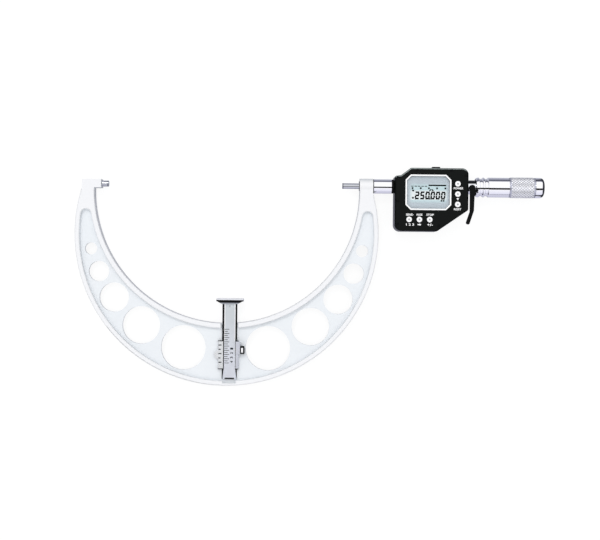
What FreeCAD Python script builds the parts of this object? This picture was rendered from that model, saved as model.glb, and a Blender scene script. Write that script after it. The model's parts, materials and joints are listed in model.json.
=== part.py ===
import FreeCAD, Part
import Sketcher
import math
import os
from FreeCAD import Placement, Rotation, Vector

# An outside micrometer for 250 to 275 mm with a digital display and a sliding stop.
# Origin: centre of the anvil's measuring face. +X runs to the spindle, +Z out of the display.

doc = FreeCAD.newDocument("outside_micrometer")
sheet = doc.addObject("Spreadsheet::Sheet", "dims")

# Driving dimensions in millimetres, angles in degrees
DIMENSIONS = {
    # Measuring line
    "measuring_gap": 250.0,
    "spindle_travel": 25.0,
    "anvil_diameter": 6.4,
    "spindle_diameter": 6.0,
    "tip_length": 1.5,
    "fit_gap": 0.02,
    "running_gap": 0.05,
    # Frame
    "frame_thickness": 14.0,
    "web_thickness": 4.0,
    "frame_centre": 127.0,
    "throat_radius": 141.5,
    "throat_drop": 6.5,
    "back_radius": 162.0,
    "back_drop": 52.5,
    "throat_rim": 5.5,
    "back_rim": 5.0,
    "rim_rounding": 1.2,
    "recess_end_drop": 33.0,
    "anvil_boss_length": 20.5,
    "anvil_projection": 7.2,
    "anvil_boss_height": 9.0,
    "anvil_seat": 15.0,
    "spindle_boss_length": 14.3,
    "spindle_boss_diameter": 16.0,
    "hole_1_angle": 17.5,
    "hole_1_diameter": 47.6,
    "hole_2_angle": 37.0,
    "hole_2_diameter": 40.2,
    "hole_3_angle": 52.8,
    "hole_3_diameter": 31.4,
    "hole_4_angle": 65.0,
    "hole_4_diameter": 21.8,
    "hole_5_angle": 74.7,
    "hole_5_diameter": 13.0,
    # Barrel
    "nose_diameter": 10.6,
    "nose_projection": 0.6,
    "barrel_diameter": 15.3,
    "barrel_length": 20.0,
    "spigot_diameter": 12.0,
    "guide_length": 24.0,
    "relief_diameter": 9.2,
    "ring_width": 2.6,
    "ring_diameter": 15.0,
    # Display housing
    "housing_width": 78.0,
    "housing_top": 19.2,
    "housing_bottom": 47.9,
    "housing_back": 12.5,
    "housing_front": 14.0,
    "seam_height": 8.5,
    "seal_thickness": 0.4,
    "wall": 2.2,
    "cover_plate": 2.0,
    "shoulder_drop": 8.7,
    "shoulder_rise": 0.8,
    "shoulder_run": 6.4,
    "slope_run": 10.6,
    "right_wall_drop": 25.1,
    "bottom_width": 45.1,
    "top_corner": 6.7,
    "low_corner": 7.0,
    "small_corner": 2.0,
    "cover_chamfer": 1.3,
    "screw_head": 2.6,
    "screw_shank": 1.8,
    "screw_head_height": 1.2,
    "screw_slot": 0.4,
    "post_diameter": 4.4,
    # Display
    "bezel_width": 48.5,
    "bezel_height": 37.5,
    "bezel_left": 11.2,
    "bezel_top_gap": 7.2,
    "bezel_corner": 5.5,
    "bezel_ring": 1.5,
    "bezel_lip": 0.9,
    "bezel_proud": 0.4,
    "ledge": 0.5,
    "window_thickness": 1.0,
    "panel_thickness": 1.9,
    "board_thickness": 1.2,
    "membrane_thickness": 0.5,
    # Buttons
    "button_diameter": 5.9,
    "button_flange": 7.2,
    "button_proud": 0.7,
    "button_travel": 0.5,
    "button_gap": 0.15,
    "button_pitch": 10.9,
    "column_inset": 11.4,
    "column_top": 2.6,
    "row_inset": 15.3,
    "row_drop": 35.6,
    # Encoder and chassis
    "chassis_width": 17.8,
    "chassis_plate": 3.0,
    "chassis_base": 2.0,
    "chassis_front": 6.6,
    "chassis_rear": 4.5,
    "stator_from_rear": 24.4,
    "stator_thickness": 1.6,
    "stator_height": 16.0,
    "stator_bore": 8.0,
    "rotor_gap": 0.5,
    "rotor_disc": 15.0,
    "rotor_disc_thickness": 1.0,
    "rotor_hub": 10.0,
    "rotor_hub_length": 7.0,
    "key_width": 1.5,
    "key_depth": 1.1,
    # Battery and data port
    "battery_diameter": 20.0,
    "battery_thickness": 3.2,
    "battery_cap_diameter": 24.0,
    "battery_cap_flange": 1.3,
    "battery_x": 25.6,
    "battery_drop": 29.5,
    "coin_slot": 1.6,
    "port_width": 8.4,
    "port_height": 8.0,
    "port_proud": 2.0,
    "port_x": 44.7,
    # Thread sleeve and lock
    "sleeve_diameter": 15.0,
    "neck_length": 9.0,
    "thread_diameter": 8.0,
    "nut_diameter": 16.6,
    "nut_length": 9.0,
    "lock_setback": 5.0,
    "lock_drop": 1.5,
    "lever_hub": 6.7,
    "lever_width": 5.0,
    "lever_bend_drop": 24.7,
    "lever_tip_drop": 39.1,
    "lever_tip_shift": 4.9,
    "lever_lobe": 4.3,
    "lever_lobe_length": 7.0,
    "lever_thickness": 2.6,
    "lever_base": 11.6,
    "stud_diameter": 3.6,
    # Thimble and ratchet
    "thimble_nose_diameter": 19.8,
    "thimble_diameter": 21.1,
    "thimble_bore": 17.5,
    "nose_taper": 2.2,
    "grip_ring": 1.0,
    "groove_depth": 1.3,
    "groove_pitch": 5.65,
    "thimble_length": 35.9,
    "hub_diameter": 18.8,
    "hub_length": 14.2,
    "knurl_diameter": 22.4,
    "knurl_length": 27.1,
    "sleeve_gap": 0.3,
    "cap_diameter": 21.7,
    "cap_length": 9.5,
    "cap_corner": 4.0,
    "ratchet_screw_head": 8.4,
    "ratchet_shoulder": 5.0,
    "ratchet_wire": 0.8,
    "ratchet_teeth": 24.0,
    # Sliding stop
    "stop_drop": 121.6,
    "stop_head_width": 28.8,
    "stop_head_thickness": 3.0,
    "stop_neck_width": 17.5,
    "stop_neck_height": 2.7,
    "stop_tongue": 4.2,
    "blade_width": 15.9,
    "blade_thickness": 3.0,
    "blade_bevel": 1.3,
    "blade_land": 1.3,
    "blade_field_depth": 0.3,
    "blade_length": 83.0,
    "blade_gap": 0.1,
    "guide_gap": 13.0,
    "guide_height": 30.5,
    "guide_left": 12.2,
    "guide_right": 9.8,
    "guide_pocket": 1.0,
    "clamp_ear": 1.6,
    "clamp_ear_height": 14.0,
    "clamp_knob_diameter": 8.8,
    "clamp_knob_length": 4.6,
    "clamp_shank": 3.0,
    "notch_width": 18.8,
    "slot_width": 17.0,
}

for row, (name, number) in enumerate(DIMENSIONS.items(), start=1):
    sheet.set(f"A{row}", name)
    sheet.set(f"B{row}", str(number))
    sheet.setAlias(f"B{row}", name)
doc.recompute()


class Size:
    """A length that knows its expression in the sheet and the number it has now."""

    def __init__(self, text, number):
        self.text = text
        self.number = number

    def __add__(self, other):
        other = as_size(other)
        return Size(f"({self.text} + {other.text})", self.number + other.number)

    def __sub__(self, other):
        other = as_size(other)
        return Size(f"({self.text} - {other.text})", self.number - other.number)

    def __mul__(self, other):
        other = as_size(other)
        return Size(f"({self.text} * {other.text})", self.number * other.number)

    def __truediv__(self, other):
        other = as_size(other)
        return Size(f"({self.text} / {other.text})", self.number / other.number)

    def __neg__(self):
        return Size(f"(0 - {self.text})", -self.number)


def as_size(value):
    """Wraps a plain number, so that sizes and numbers add up."""
    if isinstance(value, Size):
        return value
    return Size(f"({value})", float(value))


def root(size):
    return Size(f"sqrt({size.text})", math.sqrt(size.number))


def sine(size):
    return Size(f"sin({size.text})", math.sin(math.radians(size.number)))


def cosine(size):
    return Size(f"cos({size.text})", math.cos(math.radians(size.number)))


class Named:
    """Gives each named cell of the sheet as a Size."""

    def __getattr__(self, name):
        return Size(f"dims.{name}", float(sheet.get(name)))


d = Named()


# Helpers that build bodies from sizes

nodes = []

TURN_TO = {"x": Rotation(Vector(0, 1, 0), 90), "y": Rotation(Vector(1, 0, 0), -90), "z": Rotation()}


def new_body(name):
    """Starts a body whose label is the name of the piece."""
    body = doc.addObject("PartDesign::Body", name)
    body.Label = name
    nodes.append(body)
    return body


def bind(item, **sizes):
    """Binds properties of an object to sizes of the sheet."""
    for prop, size in sizes.items():
        size = as_size(size)
        setattr(item, prop, size.number)
        item.setExpression(prop, size.text)


def place(item, point, rotation=Rotation()):
    """Puts an object's corner or centre at a point given by three sizes."""
    point = [as_size(value) for value in point]
    item.Placement = Placement(Vector(*[value.number for value in point]), rotation)
    for letter, value in zip("xyz", point):
        item.setExpression(f".Placement.Base.{letter}", value.text)


def block(body, name, low, high, cut=False):
    """Adds or cuts a box between two corners."""
    box = body.newObject("PartDesign::SubtractiveBox" if cut else "PartDesign::AdditiveBox", name)
    length, width, height = [as_size(top) - bottom for bottom, top in zip(low, high)]
    bind(box, Length=length, Width=width, Height=height)
    place(box, low)
    return box


def rod(body, name, axis, start, diameter, length, cut=False):
    """Adds or cuts a cylinder that starts at a point and runs along +X, +Y or +Z."""
    kind = "SubtractiveCylinder" if cut else "AdditiveCylinder"
    cylinder = body.newObject("PartDesign::" + kind, name)
    bind(cylinder, Radius=as_size(diameter) / 2, Height=length)
    place(cylinder, start, TURN_TO[axis])
    return cylinder


def new_sketch(body, name, plane="XY_Plane", height=0):
    """Starts a sketch on one of the body's origin planes, raised along the plane's normal."""
    sketch = body.newObject("Sketcher::SketchObject", name)
    support = [item for item in body.Origin.OriginFeatures if item.Role == plane][0]
    sketch.AttachmentSupport = (support, [""])
    sketch.MapMode = "FlatFace"
    height = as_size(height)
    sketch.AttachmentOffset = Placement(Vector(0, 0, height.number), Rotation())
    sketch.setExpression(".AttachmentOffset.Base.z", height.text)
    return sketch


def measure(sketch, size, *constraint):
    """Adds a dimension to a sketch and binds it to a size."""
    index = sketch.addConstraint(Sketcher.Constraint(*constraint))
    sketch.setExpression(f"Constraints[{index}]", size.text)


def hold(sketch, edge, end, point):
    """Dimensions one end of an edge from the sketch's origin."""
    for kind, value in zip(("DistanceX", "DistanceY"), point):
        value = as_size(value)
        measure(sketch, value, kind, -1, 1, edge, end, value.number)


def polygon(sketch, points):
    """Draws a closed outline of straight edges through points given as sizes."""
    corners = [Vector(as_size(x).number, as_size(y).number, 0) for x, y in points]
    first = sketch.GeometryCount
    count = len(points)
    for index in range(count):
        sketch.addGeometry(Part.LineSegment(corners[index], corners[(index + 1) % count]))
    for index in range(count):
        follower = first + (index + 1) % count
        sketch.addConstraint(Sketcher.Constraint("Coincident", first + index, 2, follower, 1))
    for index in range(count):
        hold(sketch, first + index, 1, points[index])


def circle(sketch, centre, diameter):
    """Draws a circle held by its centre and its radius."""
    radius = as_size(diameter) / 2
    middle = Vector(as_size(centre[0]).number, as_size(centre[1]).number, 0)
    edge = sketch.addGeometry(Part.Circle(middle, Vector(0, 0, 1), radius.number))
    measure(sketch, radius, "Radius", edge, radius.number)
    hold(sketch, edge, 3, centre)


def turned(body, name, points):
    """Adds a piece turned about the measuring line, from a half section in X and radius."""
    sketch = new_sketch(body, name + "_section")
    polygon(sketch, points)
    revolution = body.newObject("PartDesign::Revolution", name)
    revolution.Profile = sketch
    revolution.ReferenceAxis = (sketch, ["H_Axis"])
    revolution.Angle = 360
    return revolution


def turned_groove(body, name, points):
    """Cuts a turned groove about the measuring line."""
    sketch = new_sketch(body, name + "_section")
    polygon(sketch, points)
    groove = body.newObject("PartDesign::Groove", name)
    groove.Profile = sketch
    groove.ReferenceAxis = (sketch, ["H_Axis"])
    groove.Angle = 360
    return groove


def plate(body, name, points, bottom, top):
    """Adds a flat plate with a straight-edged outline between two heights."""
    sketch = new_sketch(body, name + "_outline", height=bottom)
    polygon(sketch, points)
    pad = body.newObject("PartDesign::Pad", name)
    pad.Profile = sketch
    bind(pad, Length=as_size(top) - bottom)
    return pad


def sink(body, name, points, bottom, top):
    """Cuts a straight-edged pocket between two heights."""
    sketch = new_sketch(body, name + "_outline", height=bottom)
    polygon(sketch, points)
    pocket = body.newObject("PartDesign::Pocket", name)
    pocket.Profile = sketch
    pocket.Reversed = True
    bind(pocket, Length=as_size(top) - bottom)
    return pocket


def rectangle(left, right, low, high):
    return [(left, low), (right, low), (right, high), (left, high)]


def edges_where(shape, test):
    """Names the edges whose middle point and direction pass a test."""
    names = []
    for index, edge in enumerate(shape.Edges, start=1):
        middle = edge.valueAt((edge.FirstParameter + edge.LastParameter) / 2)
        if test(edge, middle):
            names.append(f"Edge{index}")
    return names


def soften(body, kind, name, size, test):
    """Fillets or chamfers the edges of the body's present shape that pass a test."""
    doc.recompute()
    base = body.Tip
    names = edges_where(base.Shape, test)
    feature = body.newObject("PartDesign::" + kind, name)
    feature.Base = (base, names)
    if kind == "Fillet":
        bind(feature, Radius=size)
    else:
        bind(feature, Size=size)
    return feature


def upright(edge):
    """Says whether an edge is straight and runs along Z."""
    if len(edge.Vertexes) < 2:
        return False
    run = edge.Vertexes[1].Point - edge.Vertexes[0].Point
    return math.hypot(run.x, run.y) < 0.001 and abs(run.z) > 0.01


def near(point, x, y, reach=0.05):
    """Says whether a point lies on the vertical line through x and y."""
    return math.hypot(point.x - as_size(x).number, point.y - as_size(y).number) < reach


def level(edge, z):
    """Says whether an edge lies flat at a height."""
    height = as_size(z).number
    return all(abs(vertex.Point.z - height) < 0.001 for vertex in edge.Vertexes)


# Places along the measuring line

throat_left = d.frame_centre - d.throat_radius
throat_right = d.frame_centre + d.throat_radius
boss_right = throat_right + d.spindle_boss_length
barrel_end = boss_right + d.barrel_length
housing_left = barrel_end + d.ring_width
housing_right = housing_left + d.housing_width
thimble_start = housing_right + d.neck_length
stop_x = (d.measuring_gap + d.spindle_travel / 2) / 2

# Heights, with Z = 0 at the measuring line

frame_front = d.frame_thickness / 2
web_front = d.web_thickness / 2
seal_bottom = d.seam_height - d.seal_thickness
floor_top = d.wall - d.housing_back
plate_back = d.housing_front - d.cover_plate
board_back = d.seam_height + 0.1
board_front = board_back + d.board_thickness
panel_front = board_front + d.panel_thickness

# Places down the frame

throat_floor = -(d.throat_drop + d.throat_radius)
rim_floor = throat_floor - d.throat_rim
back_floor = -(d.back_drop + d.back_radius)
guide_top = rim_floor - d.guide_gap
guide_bottom = guide_top - d.guide_height

# Frame: a cast crescent with a rim round each edge, a thin web and five holes a side

frame = new_body("frame")
outline = new_sketch(frame, "frame_outline", height=-frame_front)
anvil_boss_right = -d.anvil_projection
anvil_boss_left = anvil_boss_right - d.anvil_boss_length
boss_half = d.anvil_boss_height / 2


def back_height(x):
    """Height of the frame's back arc at a place along the measuring line."""
    across = x - d.frame_centre
    return root(d.back_radius * d.back_radius - across * across) - d.back_drop


def arc_edge(sketch, centre, radius, start, end):
    """Draws an arc that turns anticlockwise from start to end."""
    middle = Vector(centre[0].number, centre[1].number, 0)
    angles = [math.atan2(y.number - middle.y, x.number - middle.x) for x, y in (start, end)]
    round_edge = Part.Circle(middle, Vector(0, 0, 1), radius.number)
    return sketch.addGeometry(Part.ArcOfCircle(round_edge, angles[0], angles[1]))


def line_chain(sketch, points):
    """Draws joined straight edges through points and holds where each one starts."""
    ends = [Vector(x.number, y.number, 0) for x, y in points]
    lines = [sketch.addGeometry(Part.LineSegment(*pair)) for pair in zip(ends, ends[1:])]
    for line, point in zip(lines, points):
        hold(sketch, line, 1, point)
    for first, second in zip(lines, lines[1:]):
        sketch.addConstraint(Sketcher.Constraint("Coincident", first, 2, second, 1))
    return lines


def frame_edges(sketch):
    """Draws the crescent with its two arms and the anvil boss."""
    zero = as_size(0)
    throat_centre = (d.frame_centre, -d.throat_drop)
    back_centre = (d.frame_centre, -d.back_drop)
    arm_left = (throat_left, -d.throat_drop)
    arm_right = (throat_right, -d.throat_drop)
    right_end = (boss_right, back_height(boss_right))
    left_end = (anvil_boss_left, back_height(anvil_boss_left))
    right_lines = line_chain(sketch, [arm_right, (throat_right, zero), (boss_right, zero), right_end])
    left_lines = line_chain(sketch, [
        left_end,
        (anvil_boss_left, boss_half),
        (anvil_boss_right, boss_half),
        (anvil_boss_right, -boss_half),
        (throat_left, -boss_half),
        arm_left,
    ])
    back = arc_edge(sketch, back_centre, d.back_radius, left_end, right_end)
    throat = arc_edge(sketch, throat_centre, d.throat_radius, arm_left, arm_right)
    hold(sketch, back, 3, back_centre)
    hold(sketch, throat, 3, throat_centre)
    measure(sketch, boss_right, "DistanceX", -1, 1, back, 2, boss_right.number)
    for ends in (
        (right_lines[-1], 2, back, 2),
        (back, 1, left_lines[0], 1),
        (left_lines[-1], 2, throat, 1),
        (throat, 2, right_lines[0], 1),
    ):
        sketch.addConstraint(Sketcher.Constraint("Coincident", *ends))


frame_edges(outline)
crescent = frame.newObject("PartDesign::Pad", "crescent")
crescent.Profile = outline
bind(crescent, Length=d.frame_thickness)

# The middle line between the two rims is an ellipse about the two arc centres

rim_inner_radius = d.throat_radius + d.throat_rim
rim_outer_radius = d.back_radius - d.back_rim
half_spread = (d.back_drop - d.throat_drop) / 2
ellipse_tall = (rim_inner_radius + rim_outer_radius) / 2
ellipse_wide = root(ellipse_tall * ellipse_tall - half_spread * half_spread)
ellipse_drop = (d.back_drop + d.throat_drop) / 2
arch_cosine = (d.recess_end_drop - ellipse_drop) / ellipse_tall
arch_across = ellipse_wide * root(as_size(1) - arch_cosine * arch_cosine)
arch_radius = ellipse_tall - rim_inner_radius + half_spread * arch_cosine


def recess_edges(sketch):
    """Draws the recess between the rims, closed by a round arch in each arm."""
    inner_centre = (d.frame_centre, -d.throat_drop)
    outer_centre = (d.frame_centre, -d.back_drop)
    ends = {}
    for side in (-1, 1):
        arch = (d.frame_centre + arch_across * side, -d.recess_end_drop)
        for key, centre, radius in (("inner", inner_centre, rim_inner_radius),
                                    ("outer", outer_centre, rim_outer_radius)):
            reach = math.hypot(arch[0].number - centre[0].number, arch[1].number - centre[1].number)
            share = radius.number / reach
            ends[key, side] = (
                as_size(centre[0].number + (arch[0].number - centre[0].number) * share),
                as_size(centre[1].number + (arch[1].number - centre[1].number) * share),
            )
        ends["centre", side] = arch
    arcs = [
        arc_edge(sketch, inner_centre, rim_inner_radius, ends["inner", -1], ends["inner", 1]),
        arc_edge(sketch, outer_centre, rim_outer_radius, ends["outer", -1], ends["outer", 1]),
        arc_edge(sketch, ends["centre", -1], arch_radius, ends["inner", -1], ends["outer", -1]),
        arc_edge(sketch, ends["centre", 1], arch_radius, ends["outer", 1], ends["inner", 1]),
    ]
    for first, first_end, second, second_end in (
        (arcs[0], 1, arcs[2], 1),
        (arcs[1], 1, arcs[2], 2),
        (arcs[0], 2, arcs[3], 2),
        (arcs[1], 2, arcs[3], 1),
    ):
        sketch.addConstraint(Sketcher.Constraint("Tangent", first, first_end, second, second_end))
    for arc, centre, radius in ((arcs[0], inner_centre, rim_inner_radius),
                                (arcs[1], outer_centre, rim_outer_radius)):
        hold(sketch, arc, 3, centre)
        measure(sketch, radius, "Radius", arc, radius.number)
    for arc in arcs[2:]:
        measure(sketch, -d.recess_end_drop, "DistanceY", -1, 1, arc, 3, -d.recess_end_drop.number)


for name, bottom in (("front_recess", web_front), ("rear_recess", -frame_front)):
    recess_sketch = new_sketch(frame, name + "_outline", height=bottom)
    recess_edges(recess_sketch)
    recess = frame.newObject("PartDesign::Pocket", name)
    recess.Profile = recess_sketch
    recess.Reversed = True
    bind(recess, Length=frame_front - web_front)

soften(frame, "Fillet", "rim_roundings", d.rim_rounding,
       lambda edge, middle: (level(edge, frame_front) or level(edge, -frame_front))
       and middle.y < -boss_half.number - 1 and edge.Length > 5)

HOLES = (
    (d.hole_1_angle, d.hole_1_diameter),
    (d.hole_2_angle, d.hole_2_diameter),
    (d.hole_3_angle, d.hole_3_diameter),
    (d.hole_4_angle, d.hole_4_diameter),
    (d.hole_5_angle, d.hole_5_diameter),
)
hole_sketch = new_sketch(frame, "lightening_hole_circles", height=-web_front)
for angle, diameter in HOLES:
    drop = -ellipse_drop - ellipse_tall * cosine(angle)
    for side in (-1, 1):
        circle(hole_sketch, (d.frame_centre + ellipse_wide * sine(angle) * side, drop), diameter)
holes = frame.newObject("PartDesign::Pocket", "lightening_holes")
holes.Profile = hole_sketch
holes.Reversed = True
bind(holes, Length=d.web_thickness)

# Bosses and bores of the measuring line

rod(frame, "spindle_boss", "x", (throat_right, 0, 0), d.spindle_boss_diameter, d.spindle_boss_length)
rod(frame, "spindle_boss_bore", "x", (throat_right - 1, 0, 0), d.nose_diameter + d.fit_gap * 2,
    d.spindle_boss_length + 2, cut=True)
anvil_end = anvil_boss_right - d.anvil_seat
rod(frame, "anvil_bore", "x", (anvil_end, 0, 0), d.anvil_diameter + d.fit_gap * 2, d.anvil_seat + 1,
    cut=True)

# Notch, slot and pocket that take the sliding stop

half_notch = d.notch_width / 2
block(frame, "stop_notch", (stop_x - half_notch, rim_floor - 1, web_front),
      (stop_x + half_notch, throat_floor + 2, frame_front + 1), cut=True)
half_slot = d.slot_width / 2
blade_back = web_front + d.blade_gap
blade_front = blade_back + d.blade_thickness
block(frame, "stop_slot", (stop_x - half_slot, back_floor - 1, web_front),
      (stop_x + half_slot, back_floor + d.back_rim + 3, blade_front + 0.3), cut=True)
block(frame, "slot_mouth", (stop_x - half_slot * 0.85, back_floor + d.back_rim * 0.5, web_front),
      (stop_x + half_slot * 0.85, back_floor + d.back_rim + 1, frame_front + 1), cut=True)
block(frame, "guide_seat", (stop_x - d.guide_left, guide_bottom, web_front - d.guide_pocket),
      (stop_x + d.guide_right, guide_top, web_front + 1), cut=True)
guide_screw_places = [
    (stop_x - d.guide_left + 2.2, guide_top - 3.5),
    (stop_x + d.guide_right - 1.6, guide_top - 18.5),
    (stop_x - d.guide_left + 2.2, guide_bottom + 3.5),
    (stop_x + d.guide_right - 1.6, guide_bottom + 3.5),
]
for number, (x, y) in enumerate(guide_screw_places, start=1):
    rod(frame, f"guide_screw_hole_{number}", "z", (x, y, -web_front - 1), 2.2, d.web_thickness + 2, cut=True)

# Anvil: a hard pin in the left boss with a carbide face

anvil = new_body("anvil")
rod(anvil, "anvil_pin", "x", (anvil_end, 0, 0), d.anvil_diameter, -anvil_end - d.tip_length)
anvil_tip = new_body("anvil_carbide_tip")
rod(anvil_tip, "anvil_tip_disc", "x", (-d.tip_length, 0, 0), d.anvil_diameter, d.tip_length)

# Barrel: the chrome tube between frame and housing, whose nose guides the spindle

barrel = new_body("barrel")
guide_bore = d.spindle_diameter / 2 + d.running_gap
nose_start = throat_right - d.nose_projection
chassis_left = housing_left + d.chassis_front
barrel_back = chassis_left + d.chassis_plate
turned(barrel, "barrel_tube", [
    (nose_start, guide_bore),
    (nose_start, d.nose_diameter / 2),
    (boss_right, d.nose_diameter / 2),
    (boss_right, d.barrel_diameter / 2 - 0.3),
    (boss_right + 0.3, d.barrel_diameter / 2),
    (barrel_end - 0.3, d.barrel_diameter / 2),
    (barrel_end, d.barrel_diameter / 2 - 0.3),
    (barrel_end, d.spigot_diameter / 2),
    (barrel_back, d.spigot_diameter / 2),
    (barrel_back, d.relief_diameter / 2),
    (nose_start + d.guide_length, d.relief_diameter / 2),
    (nose_start + d.guide_length, guide_bore),
])
ring = new_body("barrel_ring")
turned(ring, "ring_band", [
    (barrel_end, d.spigot_diameter / 2 + d.fit_gap),
    (barrel_end, d.ring_diameter / 2 - 0.6),
    (barrel_end + 0.5, d.ring_diameter / 2),
    (housing_left - 0.8, d.ring_diameter / 2),
    (housing_left, d.ring_diameter / 2 - 1.0),
    (housing_left, d.spigot_diameter / 2 + d.fit_gap),
])

# Outline shared by both halves of the display housing

shoulder_y = d.housing_top - d.shoulder_drop
slope_start = (housing_left + d.shoulder_run, shoulder_y + d.shoulder_rise)
slope_end = (housing_left + d.shoulder_run + d.slope_run, d.housing_top)
diagonal_top = (housing_right, -d.right_wall_drop)
diagonal_low = (housing_left + d.bottom_width, -d.housing_bottom)
housing_corners = [
    (housing_left, -d.housing_bottom),
    diagonal_low,
    diagonal_top,
    (housing_right, d.housing_top),
    slope_end,
    slope_start,
    (housing_left, shoulder_y),
]


def round_corners(body, prefix):
    """Rounds the upright corners of a housing half, each with its own radius."""
    soften(body, "Fillet", prefix + "_top_corner", d.top_corner,
           lambda edge, middle: upright(edge) and near(middle, housing_right, d.housing_top))
    soften(body, "Fillet", prefix + "_low_corner", d.low_corner,
           lambda edge, middle: upright(edge) and near(middle, housing_left, -d.housing_bottom))
    soften(body, "Fillet", prefix + "_small_corners", d.small_corner,
           lambda edge, middle: upright(edge) and (near(middle, *diagonal_top) or near(middle, *diagonal_low)
                                                   or near(middle, housing_left, shoulder_y)))


def shrink(points, distance):
    """Moves each edge of an anticlockwise outline inwards and gives the new corners as sizes."""
    count = len(points)
    result = []
    for index in range(count):
        before, here, after = points[index - 1], points[index], points[(index + 1) % count]
        ax, ay = here[0] - before[0], here[1] - before[1]
        bx, by = after[0] - here[0], after[1] - here[1]
        la = root(ax * ax + ay * ay)
        lb = root(bx * bx + by * by)
        cross = (ax * by - ay * bx) / (la * lb)
        dx = (bx / lb - ax / la) * distance / cross
        dy = (by / lb - ay / la) * distance / cross
        result.append((here[0] + dx, here[1] + dy))
    return result


housing_inside = shrink(housing_corners, d.wall)


def hollow(body, name, bottom, top):
    """Hollows a piece of the housing to the wall thickness and rounds its two large inner corners."""
    sink(body, name, housing_inside, bottom, top)
    for corner, outer_radius, suffix in ((housing_inside[3], d.top_corner, "_top_corner"),
                                         (housing_inside[0], d.low_corner, "_low_corner")):
        soften(body, "Fillet", name + suffix, outer_radius - d.wall,
               lambda edge, middle: upright(edge) and near(middle, *corner))


post_places = [
    (housing_left + 3.0, shoulder_y - 2.0),
    (housing_left + 23.6, d.housing_top - 2.8),
    (housing_left + 59.9, d.housing_top - 2.8),
    (housing_right - 2.9, d.housing_top - 8.3),
    (housing_left + 3.0, shoulder_y - 27.1),
    (housing_left + 3.0, -d.housing_bottom + 6.9),
    (diagonal_low[0] + 2.0, -d.housing_bottom + 5.5),
]

# Rear housing: a tray with posts, a battery well, two necks and a data port

rear = new_body("housing_rear")
plate(rear, "rear_block", housing_corners, -d.housing_back, seal_bottom)
round_corners(rear, "rear")
soften(rear, "Fillet", "rear_edge_rounding", d.small_corner / 2,
       lambda edge, middle: level(edge, -d.housing_back))
hollow(rear, "rear_hollow", floor_top, seal_bottom + 1)
for number, (x, y) in enumerate(post_places, start=1):
    rod(rear, f"rear_post_{number}", "z", (x, y, floor_top - 0.5), d.post_diameter,
        seal_bottom - floor_top + 0.5)
battery_x = housing_left + d.battery_x
battery_y = -d.battery_drop
well_bore = d.battery_diameter + 0.6
well_top = floor_top + 3.5
cap_seat = d.battery_cap_flange + 0.6 - d.housing_back
rod(rear, "battery_well", "z", (battery_x, battery_y, -d.housing_back), d.battery_cap_diameter + 3.4,
    well_top + d.housing_back)
rod(rear, "battery_bore", "z", (battery_x, battery_y, -d.housing_back - 1), well_bore,
    well_top + d.housing_back + 2, cut=True)
rod(rear, "battery_cap_seat", "z", (battery_x, battery_y, -d.housing_back - 1), d.battery_cap_diameter + 0.4,
    cap_seat + d.housing_back + 1, cut=True)
for number, (x, y) in enumerate(post_places, start=1):
    rod(rear, f"rear_post_hole_{number}", "z", (x, y, 0), d.screw_shank + 0.04, d.seam_height, cut=True)
rod(rear, "barrel_hole", "x", (housing_left - 1, 0, 0), d.spigot_diameter + 0.4, d.wall + 2, cut=True)
rod(rear, "neck_hole", "x", (housing_right - d.wall - 1, 0, 0), d.sleeve_diameter + 0.3, d.wall + 2, cut=True)
port_x = housing_left + d.port_x
half_port = d.port_width / 2 - 0.6
block(rear, "port_hole", (port_x - half_port, d.housing_top - d.wall - 1, -2.5),
      (port_x + half_port, d.housing_top + 1, 2.5), cut=True)
chassis_right = housing_right - d.chassis_rear
chassis_screw_places = [
    (chassis_left + 12, d.chassis_width / 2 - 3),
    (chassis_left + 12, -d.chassis_width / 2 + 3),
    (chassis_right - 9, d.chassis_width / 2 - 3),
    (chassis_right - 9, -d.chassis_width / 2 + 3),
]
for number, (x, y) in enumerate(chassis_screw_places, start=1):
    rod(rear, f"chassis_screw_hole_{number}", "z", (x, y, floor_top - 1.5), 1.64, 2.5, cut=True)

# Seal between the two halves

seal = new_body("housing_seal")
plate(seal, "seal_sheet", housing_corners, seal_bottom, d.seam_height)
round_corners(seal, "seal")
hollow(seal, "seal_opening", seal_bottom - 1, d.seam_height + 1)
for number, (x, y) in enumerate(post_places, start=1):
    rod(seal, f"seal_eye_{number}", "z", (x, y, seal_bottom), d.post_diameter, d.seal_thickness)
for number, (x, y) in enumerate(post_places, start=1):
    rod(seal, f"seal_eye_hole_{number}", "z", (x, y, seal_bottom - 1), d.screw_shank + 0.2, 3, cut=True)

# Front cover: the face that carries the display and the buttons

bezel_left = housing_left + d.bezel_left
bezel_right = bezel_left + d.bezel_width
bezel_top = d.housing_top - d.bezel_top_gap
bezel_bottom = bezel_top - d.bezel_height


def octagon(inset):
    """Corners of the display outline, moved inwards by an inset."""
    inset = as_size(inset)
    left, right = bezel_left + inset, bezel_right - inset
    low, high = bezel_bottom + inset, bezel_top - inset
    cut = d.bezel_corner - inset * (2 - math.sqrt(2))
    return [(left + cut, low), (right - cut, low), (right, low + cut), (right, high - cut),
            (right - cut, high), (left + cut, high), (left, high - cut), (left, low + cut)]


button_column_x = housing_right - d.column_inset
button_row_y = -d.row_drop
BUTTONS = {
    "button_power": (button_column_x, d.column_top),
    "button_down": (button_column_x, d.column_top - d.button_pitch),
    "button_reset": (button_column_x, d.column_top - d.button_pitch * 2),
    "button_send": (housing_left + d.row_inset, button_row_y),
    "button_mode": (housing_left + d.row_inset + d.button_pitch, button_row_y),
    "button_stop": (housing_left + d.row_inset + d.button_pitch * 2, button_row_y),
}

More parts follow.
